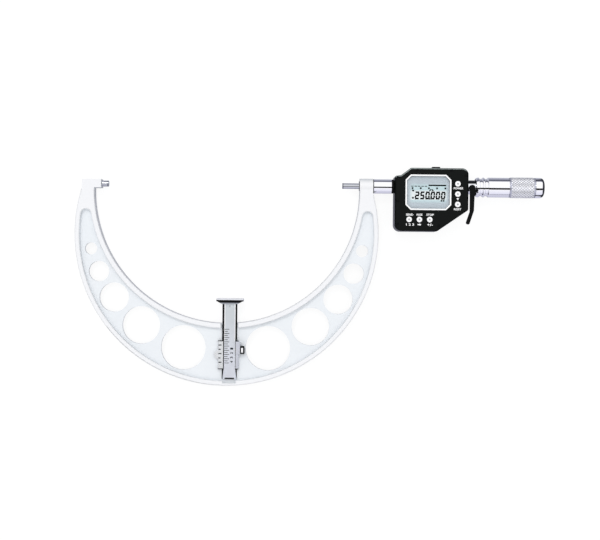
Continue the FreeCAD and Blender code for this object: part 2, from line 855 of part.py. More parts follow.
cover = new_body("housing_front")
plate(cover, "cover_block", housing_corners, d.seam_height, d.housing_front)
round_corners(cover, "cover")
soften(cover, "Chamfer", "cover_edge", d.cover_chamfer, lambda edge, middle: level(edge, d.housing_front))
hollow(cover, "cover_hollow", d.seam_height - 1, plate_back)
for number, (x, y) in enumerate(post_places, start=1):
    rod(cover, f"cover_post_{number}", "z", (x, y, d.seam_height), d.post_diameter,
        plate_back - d.seam_height + 0.5)
sink(cover, "display_opening", octagon(-0.1), plate_back + d.ledge, d.housing_front + 1)
sink(cover, "display_ledge", octagon(d.bezel_ring), plate_back - 1, d.housing_front)
for name, (x, y) in BUTTONS.items():
    rod(cover, name + "_hole", "z", (x, y, plate_back - 1), d.button_diameter + d.button_gap * 2,
        d.cover_plate + 2, cut=True)
head_seat = d.housing_front - d.screw_head_height - 0.2
for number, (x, y) in enumerate(post_places, start=1):
    rod(cover, f"cover_screw_hole_{number}", "z", (x, y, d.seam_height - 1), d.screw_shank + 0.3,
        d.housing_front, cut=True)
    rod(cover, f"cover_screw_seat_{number}", "z", (x, y, head_seat), d.screw_head + 0.3, 3, cut=True)


def screws(name, places, head_bottom, head, shank, depth, slot):
    """Makes a set of like screws whose heads face +Z, as separate solids in one piece name."""
    body = new_body(name)
    for number, (x, y) in enumerate(places, start=1):
        rod(body, f"{name}_head_{number}", "z", (x, y, head_bottom), head, d.screw_head_height)
        rod(body, f"{name}_shank_{number}", "z", (x, y, head_bottom - depth), shank, depth)
    for number, (x, y) in enumerate(places, start=1):
        half = as_size(slot) / 2
        top = head_bottom + d.screw_head_height
        reach = as_size(head) / 2 + 0.1
        block(body, f"{name}_slot_{number}", (x - reach, y - half, top - 0.5), (x + reach, y + half, top + 1),
              cut=True)
    return body


screws("cover_screws", post_places, head_seat, d.screw_head, d.screw_shank, as_size(9), d.screw_slot)

# Display: bezel, window and liquid crystal panel

bezel = new_body("window_bezel")
bezel_back = plate_back + d.ledge
bezel_front = d.housing_front + d.bezel_proud
plate(bezel, "bezel_frame", octagon(0), bezel_back, bezel_front)
window_front = bezel_back + d.window_thickness
sink(bezel, "bezel_rebate", octagon(d.bezel_ring - d.bezel_lip), bezel_back - 1, window_front + 0.05)
sink(bezel, "bezel_opening", octagon(d.bezel_ring), window_front - 0.5, bezel_front + 1)
window = new_body("display_window")
plate(window, "window_sheet", octagon(d.bezel_ring - d.bezel_lip + 0.05), bezel_back, window_front)
panel = new_body("lcd_panel")
panel_outline = rectangle(bezel_left + 0.7, bezel_right - 0.7, bezel_bottom + 0.7, bezel_top - 0.7)
plate(panel, "panel_glass", panel_outline, board_front, panel_front)

# Circuit board on the chassis, under the panel and the buttons

board = new_body("circuit_board")
board_left = housing_left + 8.1
board_right = housing_right - 4.5
board_corners = [
    (board_left, -d.housing_bottom + 8.5),
    (diagonal_low[0] + 3.0, -d.housing_bottom + 8.5),
    (board_right, -d.right_wall_drop + 1.5),
    (board_right, d.housing_top - 12.0),
    (board_right - 5.5, d.housing_top - 6.0),
    (board_left + 5.5, d.housing_top - 6.0),
    (board_left, d.housing_top - 10.3),
]
plate(board, "board_sheet", board_corners, board_back, board_front)
stator_front = housing_right - d.stator_from_rear
stator_back = stator_front + d.stator_thickness
half_chassis = d.chassis_width / 2
board_screw_places = [
    (chassis_left + d.chassis_plate / 2, half_chassis - 1.6),
    (chassis_left + d.chassis_plate / 2, -half_chassis + 1.6),
    (chassis_right - d.chassis_plate / 2, half_chassis - 1.6),
    (chassis_right - d.chassis_plate / 2, -half_chassis + 1.6),
]
for number, (x, y) in enumerate(board_screw_places, start=1):
    rod(board, f"board_hole_{number}", "z", (x, y, board_back - 1), 1.4, 4, cut=True)
board_screws = new_body("board_screws")
for number, (x, y) in enumerate(board_screw_places, start=1):
    rod(board_screws, f"board_screw_shank_{number}", "z", (x, y, board_front - 4), 1.2, as_size(4))
for number, (x, y) in enumerate(board_screw_places, start=1):
    rod(board_screws, f"board_screw_head_{number}", "z", (x, y, board_front), 2.0, as_size(0.5))

# Chassis: a light alloy cradle that joins barrel, encoder and thread sleeve

chassis = new_body("encoder_chassis")
base_top = floor_top + d.chassis_base
block(chassis, "chassis_floor", (chassis_left, -half_chassis, floor_top),
      (chassis_right, half_chassis, base_top))
chassis_plates = {
    "front": (chassis_left, chassis_left + d.chassis_plate),
    "middle": (stator_back, stator_back + d.chassis_plate),
    "rear": (chassis_right - d.chassis_plate, chassis_right),
}
for name, (start, end) in chassis_plates.items():
    block(chassis, f"chassis_{name}_plate", (start, -half_chassis, floor_top), (end, half_chassis, board_back))
sleeve_start = chassis_right - d.chassis_plate
bores = {
    "front": (chassis_left, d.spigot_diameter + d.fit_gap * 2),
    "middle": (stator_back, d.stator_bore + 2),
    "rear": (sleeve_start, d.spigot_diameter + d.fit_gap * 2),
}
for name, (start, diameter) in bores.items():
    rod(chassis, f"chassis_{name}_bore", "x", (start - 1, 0, 0), diameter, d.chassis_plate + 2, cut=True)
for number, (x, y) in enumerate(chassis_screw_places, start=1):
    rod(chassis, f"chassis_hole_{number}", "z", (x, y, floor_top - 1), 1.8, d.chassis_base + 2, cut=True)
for number, (x, y) in enumerate(board_screw_places, start=1):
    rod(chassis, f"board_screw_hole_{number}", "z", (x, y, board_front - 4.2), 1.24, 5, cut=True)
screws("chassis_screws", chassis_screw_places, base_top, as_size(3.0), as_size(1.6),
       d.chassis_base + 1.2, d.screw_slot)

# Encoder: a board round the spindle and a disc that turns with it

stator = new_body("encoder_stator")
half_stator = d.chassis_width / 2 - 1
block(stator, "stator_board", (stator_front, -half_stator, base_top + 0.2),
      (stator_back, half_stator, base_top + 0.2 + d.stator_height))
rod(stator, "stator_bore", "x", (stator_front - 1, 0, 0), d.stator_bore, d.stator_thickness + 2, cut=True)
rotor = new_body("encoder_rotor")
disc_end = stator_front - d.rotor_gap
disc_start = disc_end - d.rotor_disc_thickness
rotor_start = disc_end - d.rotor_hub_length
rotor_bore = d.spindle_diameter / 2 + d.running_gap
turned(rotor, "rotor_body", [
    (rotor_start, rotor_bore),
    (rotor_start, d.rotor_hub / 2),
    (disc_start, d.rotor_hub / 2),
    (disc_start, d.rotor_disc / 2),
    (disc_end, d.rotor_disc / 2),
    (disc_end, rotor_bore),
])
half_key = d.key_width / 2 - 0.05
key_floor = d.spindle_diameter / 2 - d.key_depth
block(rotor, "rotor_key", (rotor_start, -half_key, key_floor + 0.1), (disc_end, half_key, rotor_bore + 0.5))

# Battery, its contact and the coin-slot cap in the back

battery_bottom = cap_seat + 0.1
battery = new_body("battery")
rod(battery, "battery_cell", "z", (battery_x, battery_y, battery_bottom), d.battery_diameter,
    d.battery_thickness)
contact = new_body("battery_contact")
rod(contact, "contact_plate", "z", (battery_x, battery_y, well_top), well_bore + 1.6, 0.4)
block(contact, "contact_leg", (battery_x - 1.5, battery_y + 8, well_top),
      (battery_x + 1.5, battery_y + 8.4, board_back))
cap = new_body("battery_cap")
cap_bottom = -d.housing_back + 0.1
rod(cap, "cap_flange", "z", (battery_x, battery_y, cap_bottom), d.battery_cap_diameter, d.battery_cap_flange)
cap_top = cap_bottom + d.battery_cap_flange
rod(cap, "cap_spigot", "z", (battery_x, battery_y, cap_top), d.battery_diameter + 0.2, cap_seat - cap_top)
half_slot_length = d.battery_cap_diameter * 0.36
block(cap, "cap_coin_slot", (battery_x - half_slot_length, battery_y - d.coin_slot / 2, cap_bottom - 1),
      (battery_x + half_slot_length, battery_y + d.coin_slot / 2, cap_bottom + 0.8), cut=True)
cap_ring = new_body("battery_seal")
rod(cap_ring, "battery_seal_ring", "z", (battery_x, battery_y, cap_top + 0.05), d.battery_cap_diameter - 0.4,
    cap_seat - cap_top - 0.05)
rod(cap_ring, "battery_seal_bore", "z", (battery_x, battery_y, cap_top - 1), d.battery_diameter + 0.8, 4,
    cut=True)

# Data port: a socket inside the top wall and a soft plug that lifts off

socket = new_body("data_connector")
wall_inside = d.housing_top - d.wall
block(socket, "socket_shell", (port_x - half_port - 0.8, wall_inside - 6, -3.3),
      (port_x + half_port + 0.8, wall_inside, 3.3))
block(socket, "socket_mouth", (port_x - half_port + 0.2, wall_inside - 4, -2.2),
      (port_x + half_port - 0.2, wall_inside + 1, 2.2), cut=True)
plug = new_body("data_port_cover")
half_cover = d.port_width / 2
block(plug, "plug_flange", (port_x - half_cover, d.housing_top, -d.port_height / 2),
      (port_x + half_cover, d.housing_top + d.port_proud, d.port_height / 2))
block(plug, "plug_body", (port_x - half_port + 0.2, wall_inside + 0.1, -2.2),
      (port_x + half_port - 0.2, d.housing_top, 2.2))

# Keypad: one rubber sheet on the board and six caps in the cover

membrane = new_body("keypad_membrane")
membrane_front = board_front + d.membrane_thickness
pad_reach = d.button_flange / 2 + 1.2
row_left = housing_left + d.row_inset - pad_reach
row_right = housing_left + d.row_inset + d.button_pitch * 2 + pad_reach
column_left = bezel_right + 0.9
column_right = button_column_x + pad_reach
membrane_low = bezel_bottom - 0.8
plate(membrane, "membrane_sheet", [
    (row_left, button_row_y - 4.2),
    (row_right, button_row_y - 4.2),
    (row_right, button_row_y + 5.5),
    (column_left + 3, button_row_y + 5.5),
    (column_right, -d.right_wall_drop + 2.5),
    (column_right, d.column_top + pad_reach),
    (column_left, d.column_top + pad_reach),
    (column_left, membrane_low),
    (row_left, membrane_low),
], board_front, membrane_front)
for number, (x, y) in enumerate(board_screw_places[2:], start=1):
    rod(membrane, f"membrane_notch_{number}", "z", (x, y, board_front - 1), 2.6, 3, cut=True)
flange_top = plate_back - 0.1
for name, (x, y) in BUTTONS.items():
    button = new_body(name)
    rod(button, name + "_flange", "z", (x, y, flange_top - 0.7), d.button_flange, as_size(0.7))
    rod(button, name + "_cap", "z", (x, y, flange_top), d.button_diameter,
        d.housing_front + d.button_proud - flange_top)
    stem_bottom = membrane_front + d.button_travel + 0.05
    rod(button, name + "_stem", "z", (x, y, stem_bottom), 2.0, flange_top - 0.7 - stem_bottom)
    soften(button, "Fillet", name + "_edge", as_size(0.4),
           lambda edge, middle: level(edge, d.housing_front + d.button_proud))

# Thread sleeve: neck behind the housing, long thread for the spindle, slotted rear end

sleeve = new_body("thread_sleeve")
thread_bore = d.thread_diameter / 2 + d.running_gap
sleeve_end = thimble_start + d.spindle_travel + 5.6
nut_start = sleeve_end - d.nut_length - 1.5
turned(sleeve, "sleeve_tube", [
    (sleeve_start, d.relief_diameter / 2),
    (sleeve_start, d.spigot_diameter / 2),
    (chassis_right, d.spigot_diameter / 2),
    (chassis_right, d.sleeve_diameter / 2),
    (nut_start, d.sleeve_diameter / 2),
    (nut_start, d.sleeve_diameter / 2 - 0.4),
    (sleeve_end, d.sleeve_diameter / 2 - 0.8),
    (sleeve_end, thread_bore),
    (thimble_start + 7, thread_bore),
    (thimble_start + 7, d.relief_diameter / 2),
])
for number, angle in enumerate((0, 120, 240), start=1):
    slit = sleeve.newObject("PartDesign::SubtractiveBox", f"sleeve_slit_{number}")
    bind(slit, Length=as_size(16), Width=as_size(0.8), Height=as_size(10))
    place(slit, (sleeve_end - 14, 0, 0), Rotation(Vector(1, 0, 0), angle))
lock_x = thimble_start - d.lock_setback
lock_y = -d.lock_drop
rod(sleeve, "lock_hole", "z", (lock_x, lock_y, 0), d.stud_diameter + 0.04, d.sleeve_diameter, cut=True)
nut = new_body("adjusting_nut")
nut_bore = d.sleeve_diameter / 2 - 0.3
turned(nut, "nut_ring", [
    (nut_start + 0.2, nut_bore),
    (nut_start + 0.2, d.nut_diameter / 2),
    (nut_start + d.nut_length, d.nut_diameter / 2),
    (nut_start + d.nut_length, nut_bore),
])
for number, angle in enumerate((0, 90, 180, 270), start=1):
    notch = nut.newObject("PartDesign::SubtractiveBox", f"nut_notch_{number}")
    bind(notch, Length=as_size(3), Width=as_size(1.6), Height=as_size(3))
    turn = Rotation(Vector(1, 0, 0), angle)
    corner = turn.multVec(Vector(0, -0.8, d.nut_diameter.number / 2 - 0.8))
    place(notch, (nut_start + d.nut_length - 2.5, corner.y, corner.z), turn)

# Spindle with its keyway, thread and taper, and its carbide face

spindle = new_body("spindle")
thread_start = sleeve_start + 6
thimble_end = thimble_start + d.thimble_length
taper_start = thimble_end - 1.3
taper_end = taper_start + 12
spindle_end = taper_end + 3
turned(spindle, "spindle_shaft", [
    (d.measuring_gap + d.tip_length, as_size(0)),
    (d.measuring_gap + d.tip_length, d.spindle_diameter / 2),
    (thread_start, d.spindle_diameter / 2),
    (thread_start + 1, d.thread_diameter / 2),
    (taper_start, d.thread_diameter / 2),
    (taper_end, d.thread_diameter / 2 - 0.6),
    (taper_end, d.thread_diameter / 2 - 1.2),
    (spindle_end, d.thread_diameter / 2 - 1.2),
    (spindle_end, as_size(0)),
])
block(spindle, "keyway", (rotor_start - d.spindle_travel - 2, -d.key_width / 2, key_floor),
      (disc_end + 3, d.key_width / 2, d.spindle_diameter), cut=True)
screw_bore_start = spindle_end - 11
rod(spindle, "ratchet_screw_bore", "x", (screw_bore_start, 0, 0), 3.04, as_size(12), cut=True)
spindle_tip = new_body("spindle_carbide_tip")
rod(spindle_tip, "spindle_tip_disc", "x", (d.measuring_gap, 0, 0), d.spindle_diameter, d.tip_length)

# Thimble: ringed nose, plain drum and the hub that the ratchet sleeve turns on

thimble = new_body("thimble")
hub_end = thimble_end + d.hub_length
cavity_end = taper_start - 1
turned(thimble, "thimble_drum", [
    (thimble_start, d.thimble_bore / 2),
    (thimble_start, d.thimble_nose_diameter / 2 - 0.4),
    (thimble_start + 0.4, d.thimble_nose_diameter / 2),
    (thimble_start + d.nose_taper, d.thimble_diameter / 2),
    (thimble_end - 0.4, d.thimble_diameter / 2),
    (thimble_end, d.thimble_diameter / 2 - 0.4),
    (thimble_end, d.hub_diameter / 2),
    (hub_end, d.hub_diameter / 2),
    (hub_end, d.thread_diameter / 2 - 0.6 + d.fit_gap),
    (taper_end, d.thread_diameter / 2 - 0.6 + d.fit_gap),
    (taper_start, d.thread_diameter / 2 + d.fit_gap),
    (cavity_end, d.thread_diameter / 2 + d.fit_gap),
    (cavity_end, d.thimble_bore / 2),
])
groove_floor = d.thimble_diameter / 2 - d.groove_depth
groove_mouth = d.thimble_diameter / 2 + 0.2
for number in range(2):
    start = thimble_start + d.nose_taper + d.grip_ring + d.groove_pitch * number
    end = start + d.groove_pitch - d.grip_ring
    turned_groove(thimble, f"thimble_groove_{number + 1}", [
        (start + d.groove_depth, groove_floor),
        (end - d.groove_depth, groove_floor),
        (end, groove_mouth),
        (start, groove_mouth),
    ])

# Ratchet: toothed hub, toothed disc and spring inside the knurled sleeve

ratchet_hub = new_body("ratchet_hub")
hub_face = hub_end + 4.0
shoulder_seat = hub_face - 1.5
turned(ratchet_hub, "ratchet_hub_body", [
    (hub_end, as_size(1.56)),
    (hub_end, as_size(7.4)),
    (hub_face - 0.6, as_size(7.4)),
    (hub_face - 0.6, d.ratchet_shoulder / 2 + 0.1),
    (shoulder_seat, d.ratchet_shoulder / 2 + 0.1),
    (shoulder_seat, as_size(1.56)),
])
ratchet_disc = new_body("ratchet_disc")
disc_face = hub_face + 0.2
disc_back = disc_face + 2.4
turned(ratchet_disc, "ratchet_disc_body", [
    (disc_face + 0.6, d.ratchet_shoulder / 2 + 0.06),
    (disc_face + 0.6, as_size(8.25)),
    (disc_back, as_size(8.25)),
    (disc_back, d.ratchet_shoulder / 2 + 0.06),
])


def face_teeth(body, prefix, start, end):
    """Adds a ring of face teeth as blocks set round the measuring line."""
    count = int(d.ratchet_teeth.number)
    for number in range(count):
        turn = Rotation(Vector(1, 0, 0), 360.0 * number / count)
        corner = turn.multVec(Vector(0, -0.45, 5.2))
        tooth = body.newObject("PartDesign::AdditiveBox", f"{prefix}_{number + 1}")
        bind(tooth, Length=as_size(end) - start, Width=as_size(0.9), Height=as_size(2.0))
        place(tooth, (start, corner.y, corner.z), turn)


face_teeth(ratchet_hub, "hub_tooth", hub_face - 0.7, hub_face)
face_teeth(ratchet_disc, "disc_tooth", disc_face, disc_face + 0.7)
block(ratchet_disc, "disc_key", (disc_face + 0.6, -1, 7), (disc_back, 1, 9.0))
knurled = new_body("ratchet_sleeve")
knurl_start = thimble_end + 0.2
knurl_end = knurl_start + d.knurl_length
flange_start = disc_back + 3.4
flange_end = flange_start + 1.4
turned(knurled, "knurled_tube", [
    (knurl_start, d.hub_diameter / 2 + d.running_gap),
    (knurl_start, d.knurl_diameter / 2 - 0.5),
    (knurl_start + 0.5, d.knurl_diameter / 2),
    (knurl_end - 0.5, d.knurl_diameter / 2),
    (knurl_end, d.knurl_diameter / 2 - 0.5),
    (knurl_end, d.cap_diameter / 2 - 1.8),
    (flange_end, d.cap_diameter / 2 - 1.8),
    (flange_end, d.ratchet_shoulder / 2 + 0.1),
    (flange_start, d.ratchet_shoulder / 2 + 0.1),
    (flange_start, as_size(8.4)),
    (hub_end + 0.2, as_size(8.4)),
    (hub_end + 0.2, d.hub_diameter / 2 + d.running_gap),
])
block(knurled, "sleeve_keyway", (hub_end, -1.1, 7.6), (flange_start, 1.1, 9.2), cut=True)
ratchet_spring = new_body("ratchet_spring")
coil_section = new_sketch(ratchet_spring, "coil_section")
coil_pitch = (flange_start - disc_back - d.ratchet_wire - 0.1) / 2.5
coil_start = disc_back + d.ratchet_wire / 2 + 0.05
circle(coil_section, (coil_start, as_size(5.2)), d.ratchet_wire)
coil = ratchet_spring.newObject("PartDesign::AdditiveHelix", "spring_coil")
coil.Profile = coil_section
coil.ReferenceAxis = (coil_section, ["H_Axis"])
coil.Mode = "pitch-turns-angle"
bind(coil, Pitch=coil_pitch)
coil.Turns = 2.5
coil.Angle = 0
ratchet_screw = new_body("ratchet_screw")
rod(ratchet_screw, "screw_shank", "x", (screw_bore_start + 0.5, 0, 0), 3.0,
    shoulder_seat - screw_bore_start - 0.5)
rod(ratchet_screw, "screw_shoulder", "x", (shoulder_seat, 0, 0), d.ratchet_shoulder,
    flange_end + 0.15 - shoulder_seat)
rod(ratchet_screw, "screw_head", "x", (flange_end + 0.15, 0, 0), d.ratchet_screw_head, as_size(1.6))
block(ratchet_screw, "screw_head_slot", (flange_end + 1.05, -5, -0.5), (flange_end + 3, 5, 0.5), cut=True)
end_cap = new_body("end_cap")
cap_start = knurl_end + d.sleeve_gap
cap_end = cap_start + d.cap_length
turned(end_cap, "end_cap_body", [
    (flange_end + 0.4, as_size(6.0)),
    (flange_end + 0.4, d.cap_diameter / 2 - 1.84),
    (cap_start, d.cap_diameter / 2 - 1.84),
    (cap_start, d.cap_diameter / 2),
    (cap_end, d.cap_diameter / 2),
    (cap_end, as_size(0)),
    (cap_start + 4, as_size(0)),
    (cap_start + 4, as_size(6.0)),
])
soften(end_cap, "Fillet", "end_cap_corner", d.cap_corner,
       lambda edge, middle: abs(middle.x - cap_end.number) < 0.001
       and abs(math.hypot(middle.y, middle.z) - d.cap_diameter.number / 2) < 0.001)

# Lock: a lever on a stud that presses a brass pad on the spindle

lever = new_body("lock_lever")
lever_front = d.lever_base + d.lever_thickness
half_lever = d.lever_width / 2
bend_y = lock_y - d.lever_bend_drop
tip_y = lock_y - d.lever_tip_drop
tip_x = lock_x - d.lever_tip_shift
plate(lever, "lever_arm", [
    (lock_x - half_lever, lock_y),
    (lock_x - half_lever, bend_y - 0.6),
    (tip_x - half_lever * 0.8, tip_y + 0.8),
    (tip_x + half_lever * 0.8, tip_y),
    (lock_x + half_lever * 0.8, bend_y + 0.6),
    (lock_x + half_lever, lock_y - d.lever_lobe_length - 2),
    (lock_x + d.lever_lobe, lock_y - d.lever_lobe_length),
    (lock_x + d.lever_lobe, lock_y - 2),
    (lock_x + half_lever, lock_y),
], d.lever_base, lever_front)
rod(lever, "lever_hub", "z", (lock_x, lock_y, d.lever_base), d.lever_hub, d.lever_thickness)
rod(lever, "lever_foot", "z", (lock_x, lock_y, 7.8), 6.0, d.lever_base - 7.8)
rod(lever, "lever_bore", "z", (lock_x, lock_y, 7), d.stud_diameter + 0.04, d.lever_base + 1 - 7, cut=True)
soften(lever, "Fillet", "lever_tip", d.lever_width * 0.36,
       lambda edge, middle: upright(edge) and middle.y < tip_y.number + 1)
soften(lever, "Fillet", "lever_edges", as_size(0.7),
       lambda edge, middle: level(edge, lever_front))
stud = new_body("lock_stud")
rod(stud, "stud_shank", "z", (lock_x, lock_y, 5.5), d.stud_diameter, d.lever_base + 1 - 5.5)
lock_pad = new_body("lock_pad")
rod(lock_pad, "pad_plug", "z", (lock_x, lock_y, d.thread_diameter / 2 + 0.1), d.stud_diameter, as_size(1.3))

# Sliding stop: guide on the web, dovetail blade, head and clamp screw

blade_half = d.blade_width / 2
slide_gap = 0.05
guide = new_body("stop_guide")
guide_back = web_front - d.guide_pocket
base_front = blade_back - slide_gap
guide_front = blade_front + 0.1
block(guide, "guide_base", (stop_x - d.guide_left, guide_bottom, guide_back),
      (stop_x + d.guide_right, guide_top, guide_front))
bevel_start = blade_front - d.blade_thickness * 0.6


def bar_section(sketch, half, back, bevel_from, front, bevel):
    """Draws a bar's section with two front bevels, in X and Z."""
    polygon(sketch, [
        (stop_x - half, back),
        (stop_x + half, back),
        (stop_x + half, bevel_from),
        (stop_x + half - bevel, front),
        (stop_x - half + bevel, front),
        (stop_x - half, bevel_from),
    ])


ear_right = stop_x + d.guide_right + d.clamp_ear
clamp_y = guide_top - d.clamp_ear_height * 0.7
clamp_z = web_front + d.clamp_knob_diameter / 2 + 0.25
ear_top = clamp_z + d.clamp_shank / 2 + 1.0
cheek_left = stop_x + blade_half - d.blade_bevel
block(guide, "clamp_ear", (cheek_left + 0.3, guide_top - d.clamp_ear_height, guide_front - 0.5),
      (ear_right, guide_top, ear_top))
block(guide, "clamp_ear_root", (stop_x + d.guide_right - 0.5, guide_top - d.clamp_ear_height, web_front + 0.1),
      (ear_right, guide_top, guide_front))
rod(guide, "finger_rest", "z", (stop_x - d.guide_left, guide_top - d.guide_height / 2, web_front + 0.1), 8.8,
    guide_front - web_front - 0.1)
channel = new_sketch(guide, "guide_channel_section", "XZ_Plane", height=-guide_top - 1)
bar_section(channel, blade_half + slide_gap, base_front, bevel_start + slide_gap, guide_front + 0.01,
            d.blade_bevel)
channel_cut = guide.newObject("PartDesign::Pocket", "guide_channel")
channel_cut.Profile = channel
channel_cut.Reversed = True
bind(channel_cut, Length=d.guide_height + 2)
shoe_right = stop_x + d.guide_right - 0.9
shoe_low = clamp_y - 2.0
shoe_high = clamp_y + 2.0
shoe_back = bevel_start + 0.5
shoe_top = clamp_z + d.clamp_shank / 2
block(guide, "shoe_pocket", (cheek_left - 1, shoe_low - 0.05, shoe_back - 0.05),
      (shoe_right + 0.05, shoe_high + 0.05, shoe_top + 0.05), cut=True)
rod(guide, "clamp_bore", "x", (shoe_right - 0.5, clamp_y, clamp_z), d.clamp_shank + 0.1, as_size(12), cut=True)
for number, (x, y) in enumerate(guide_screw_places, start=1):
    rod(guide, f"guide_tapped_hole_{number}", "z", (x, y, guide_back - 1), 1.84, base_front - guide_back + 1,
        cut=True)
soften(guide, "Chamfer", "ear_corner", as_size(2.0),
       lambda edge, middle: upright(edge) and near(middle, ear_right, guide_top, 0.3))

soften(guide, "Chamfer", "guide_edges", as_size(0.4),
       lambda edge, middle: level(edge, guide_front) and edge.Length > 8
       and (near(middle, stop_x - d.guide_left, middle.y) or abs(middle.y - guide_bottom.number) < 0.05))

guide_screws = new_body("stop_guide_screws")
for number, (x, y) in enumerate(guide_screw_places, start=1):
    rod(guide_screws, f"guide_screw_head_{number}", "z", (x, y, -web_front - 1.4), 3.6, as_size(1.4))
    rod(guide_screws, f"guide_screw_shank_{number}", "z", (x, y, -web_front), 1.8, d.web_thickness)
for number, (x, y) in enumerate(guide_screw_places, start=1):
    block(guide_screws, f"guide_screw_slot_{number}", (x - 2, y - 0.3, -web_front - 2),
          (x + 2, y + 0.3, -web_front - 0.9), cut=True)

blade = new_body("stop_blade")
neck_bottom = -d.stop_drop - d.stop_head_thickness - d.stop_neck_height
blade_top = -d.stop_drop - d.stop_head_thickness
blade_bottom = blade_top - d.blade_length
blade_section = new_sketch(blade, "blade_section", "XZ_Plane", height=-blade_top)
bar_section(blade_section, blade_half, blade_back, bevel_start, blade_front, d.blade_bevel)
blade_bar = blade.newObject("PartDesign::Pad", "blade_bar")
blade_bar.Profile = blade_section
bind(blade_bar, Length=d.blade_length)
field_half = blade_half - d.blade_bevel - d.blade_land
block(blade, "scale_field", (stop_x - field_half, blade_bottom + 1.2, blade_front - d.blade_field_depth),
      (stop_x + field_half, neck_bottom - 1.6, blade_front + 1), cut=True)
pin_y = neck_bottom - 2.4
rod(blade, "blade_pin_hole", "z", (stop_x, pin_y, blade_back - 1), 2.04, as_size(6), cut=True)

head = new_body("stop_head")
half_head = d.stop_head_width / 2
half_neck = d.stop_neck_width / 2
head_plate_bottom = -d.stop_drop - d.stop_head_thickness
block(head, "head_plate", (stop_x - half_head, head_plate_bottom, -frame_front),
      (stop_x + half_head, -d.stop_drop, frame_front))
neck_sketch = new_sketch(head, "head_neck_outline", height=web_front - 3.5)
polygon(neck_sketch, [
    (stop_x - half_neck, neck_bottom),
    (stop_x + half_neck, neck_bottom),
    (stop_x + half_head - 0.8, head_plate_bottom),
    (stop_x - half_head + 0.8, head_plate_bottom),
])
head_neck = head.newObject("PartDesign::Pad", "head_neck")
head_neck.Profile = neck_sketch
bind(head_neck, Length=frame_front - web_front + 3.5)
block(head, "head_tongue", (stop_x - half_neck + 2, neck_bottom - d.stop_tongue, web_front - 3.5),
      (stop_x + half_neck - 2, neck_bottom + 1, web_front + d.blade_gap - 0.02))
block(head, "blade_socket", (stop_x - blade_half - 0.05, neck_bottom - 1, blade_back - 0.02),
      (stop_x + blade_half + 0.05, head_plate_bottom + 0.02, blade_front + 0.05), cut=True)
rod(head, "head_pin_hole", "z", (stop_x, pin_y, web_front - 4), 2.04, as_size(6), cut=True)
pin = new_body("stop_head_pin")
rod(pin, "head_pin", "z", (stop_x, pin_y, web_front - 3.5), 2.0,
    blade_front - d.blade_field_depth - web_front + 3.6)

clamp = new_body("stop_clamp_screw")
shank_start = shoe_right + 0.05
rod(clamp, "clamp_shank", "x", (shank_start, clamp_y, clamp_z), d.clamp_shank, ear_right + 0.2 - shank_start)
rod(clamp, "clamp_knob", "x", (ear_right + 0.2, clamp_y, clamp_z), d.clamp_knob_diameter, d.clamp_knob_length)
soften(clamp, "Chamfer", "clamp_knob_edges", as_size(0.5),
       lambda edge, middle: abs(math.hypot(middle.y - clamp_y.number, middle.z - clamp_z.number)
                                - d.clamp_knob_diameter.number / 2) < 0.001)
shoe = new_body("stop_clamp_shoe")
bevel_gap = as_size(0.1)
bevel_slope = d.blade_bevel / (blade_front - bevel_start)
shoe_foot = stop_x + blade_half + bevel_gap - (shoe_back - bevel_start) * bevel_slope
shoe_toe = stop_x + blade_half + bevel_gap - (blade_front - bevel_start) * bevel_slope
shoe_section = new_sketch(shoe, "shoe_section", "XZ_Plane", height=-shoe_high)
polygon(shoe_section, [
    (shoe_foot, shoe_back),
    (shoe_right, shoe_back),
    (shoe_right, shoe_top),
    (shoe_toe, shoe_top),
    (shoe_toe, blade_front),
])
shoe_bar = shoe.newObject("PartDesign::Pad", "shoe_bar")
shoe_bar.Profile = shoe_section
bind(shoe_bar, Length=shoe_high - shoe_low)

doc.recompute()

# Every object must be sound before any shape is written

faults = []
for item in doc.Objects:
    if "Invalid" in item.State or "Error" in item.State:
        faults.append(f"{item.Name}: {item.State}")
for node in nodes:
    if node.Shape.isNull() or not node.Shape.isValid():
        faults.append(f"{node.Label}: shape is null or not valid")
if faults:
    raise RuntimeError("; ".join(faults))

os.makedirs("parts", exist_ok=True)
for node in nodes:
    node.Shape.exportStep(os.path.join("parts", node.Label + ".step"))
    box = node.Shape.BoundBox
    print(f"{node.Label}: {len(node.Shape.Solids)} solids, {node.Shape.Volume:.0f} mm3, "
          f"X {box.XMin:.1f} {box.XMax:.1f} Y {box.YMin:.1f} {box.YMax:.1f} Z {box.ZMin:.1f} {box.ZMax:.1f}")
print(f"{len(nodes)} pieces")
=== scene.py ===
import json
import math
import bpy
from mathutils import Matrix, Vector

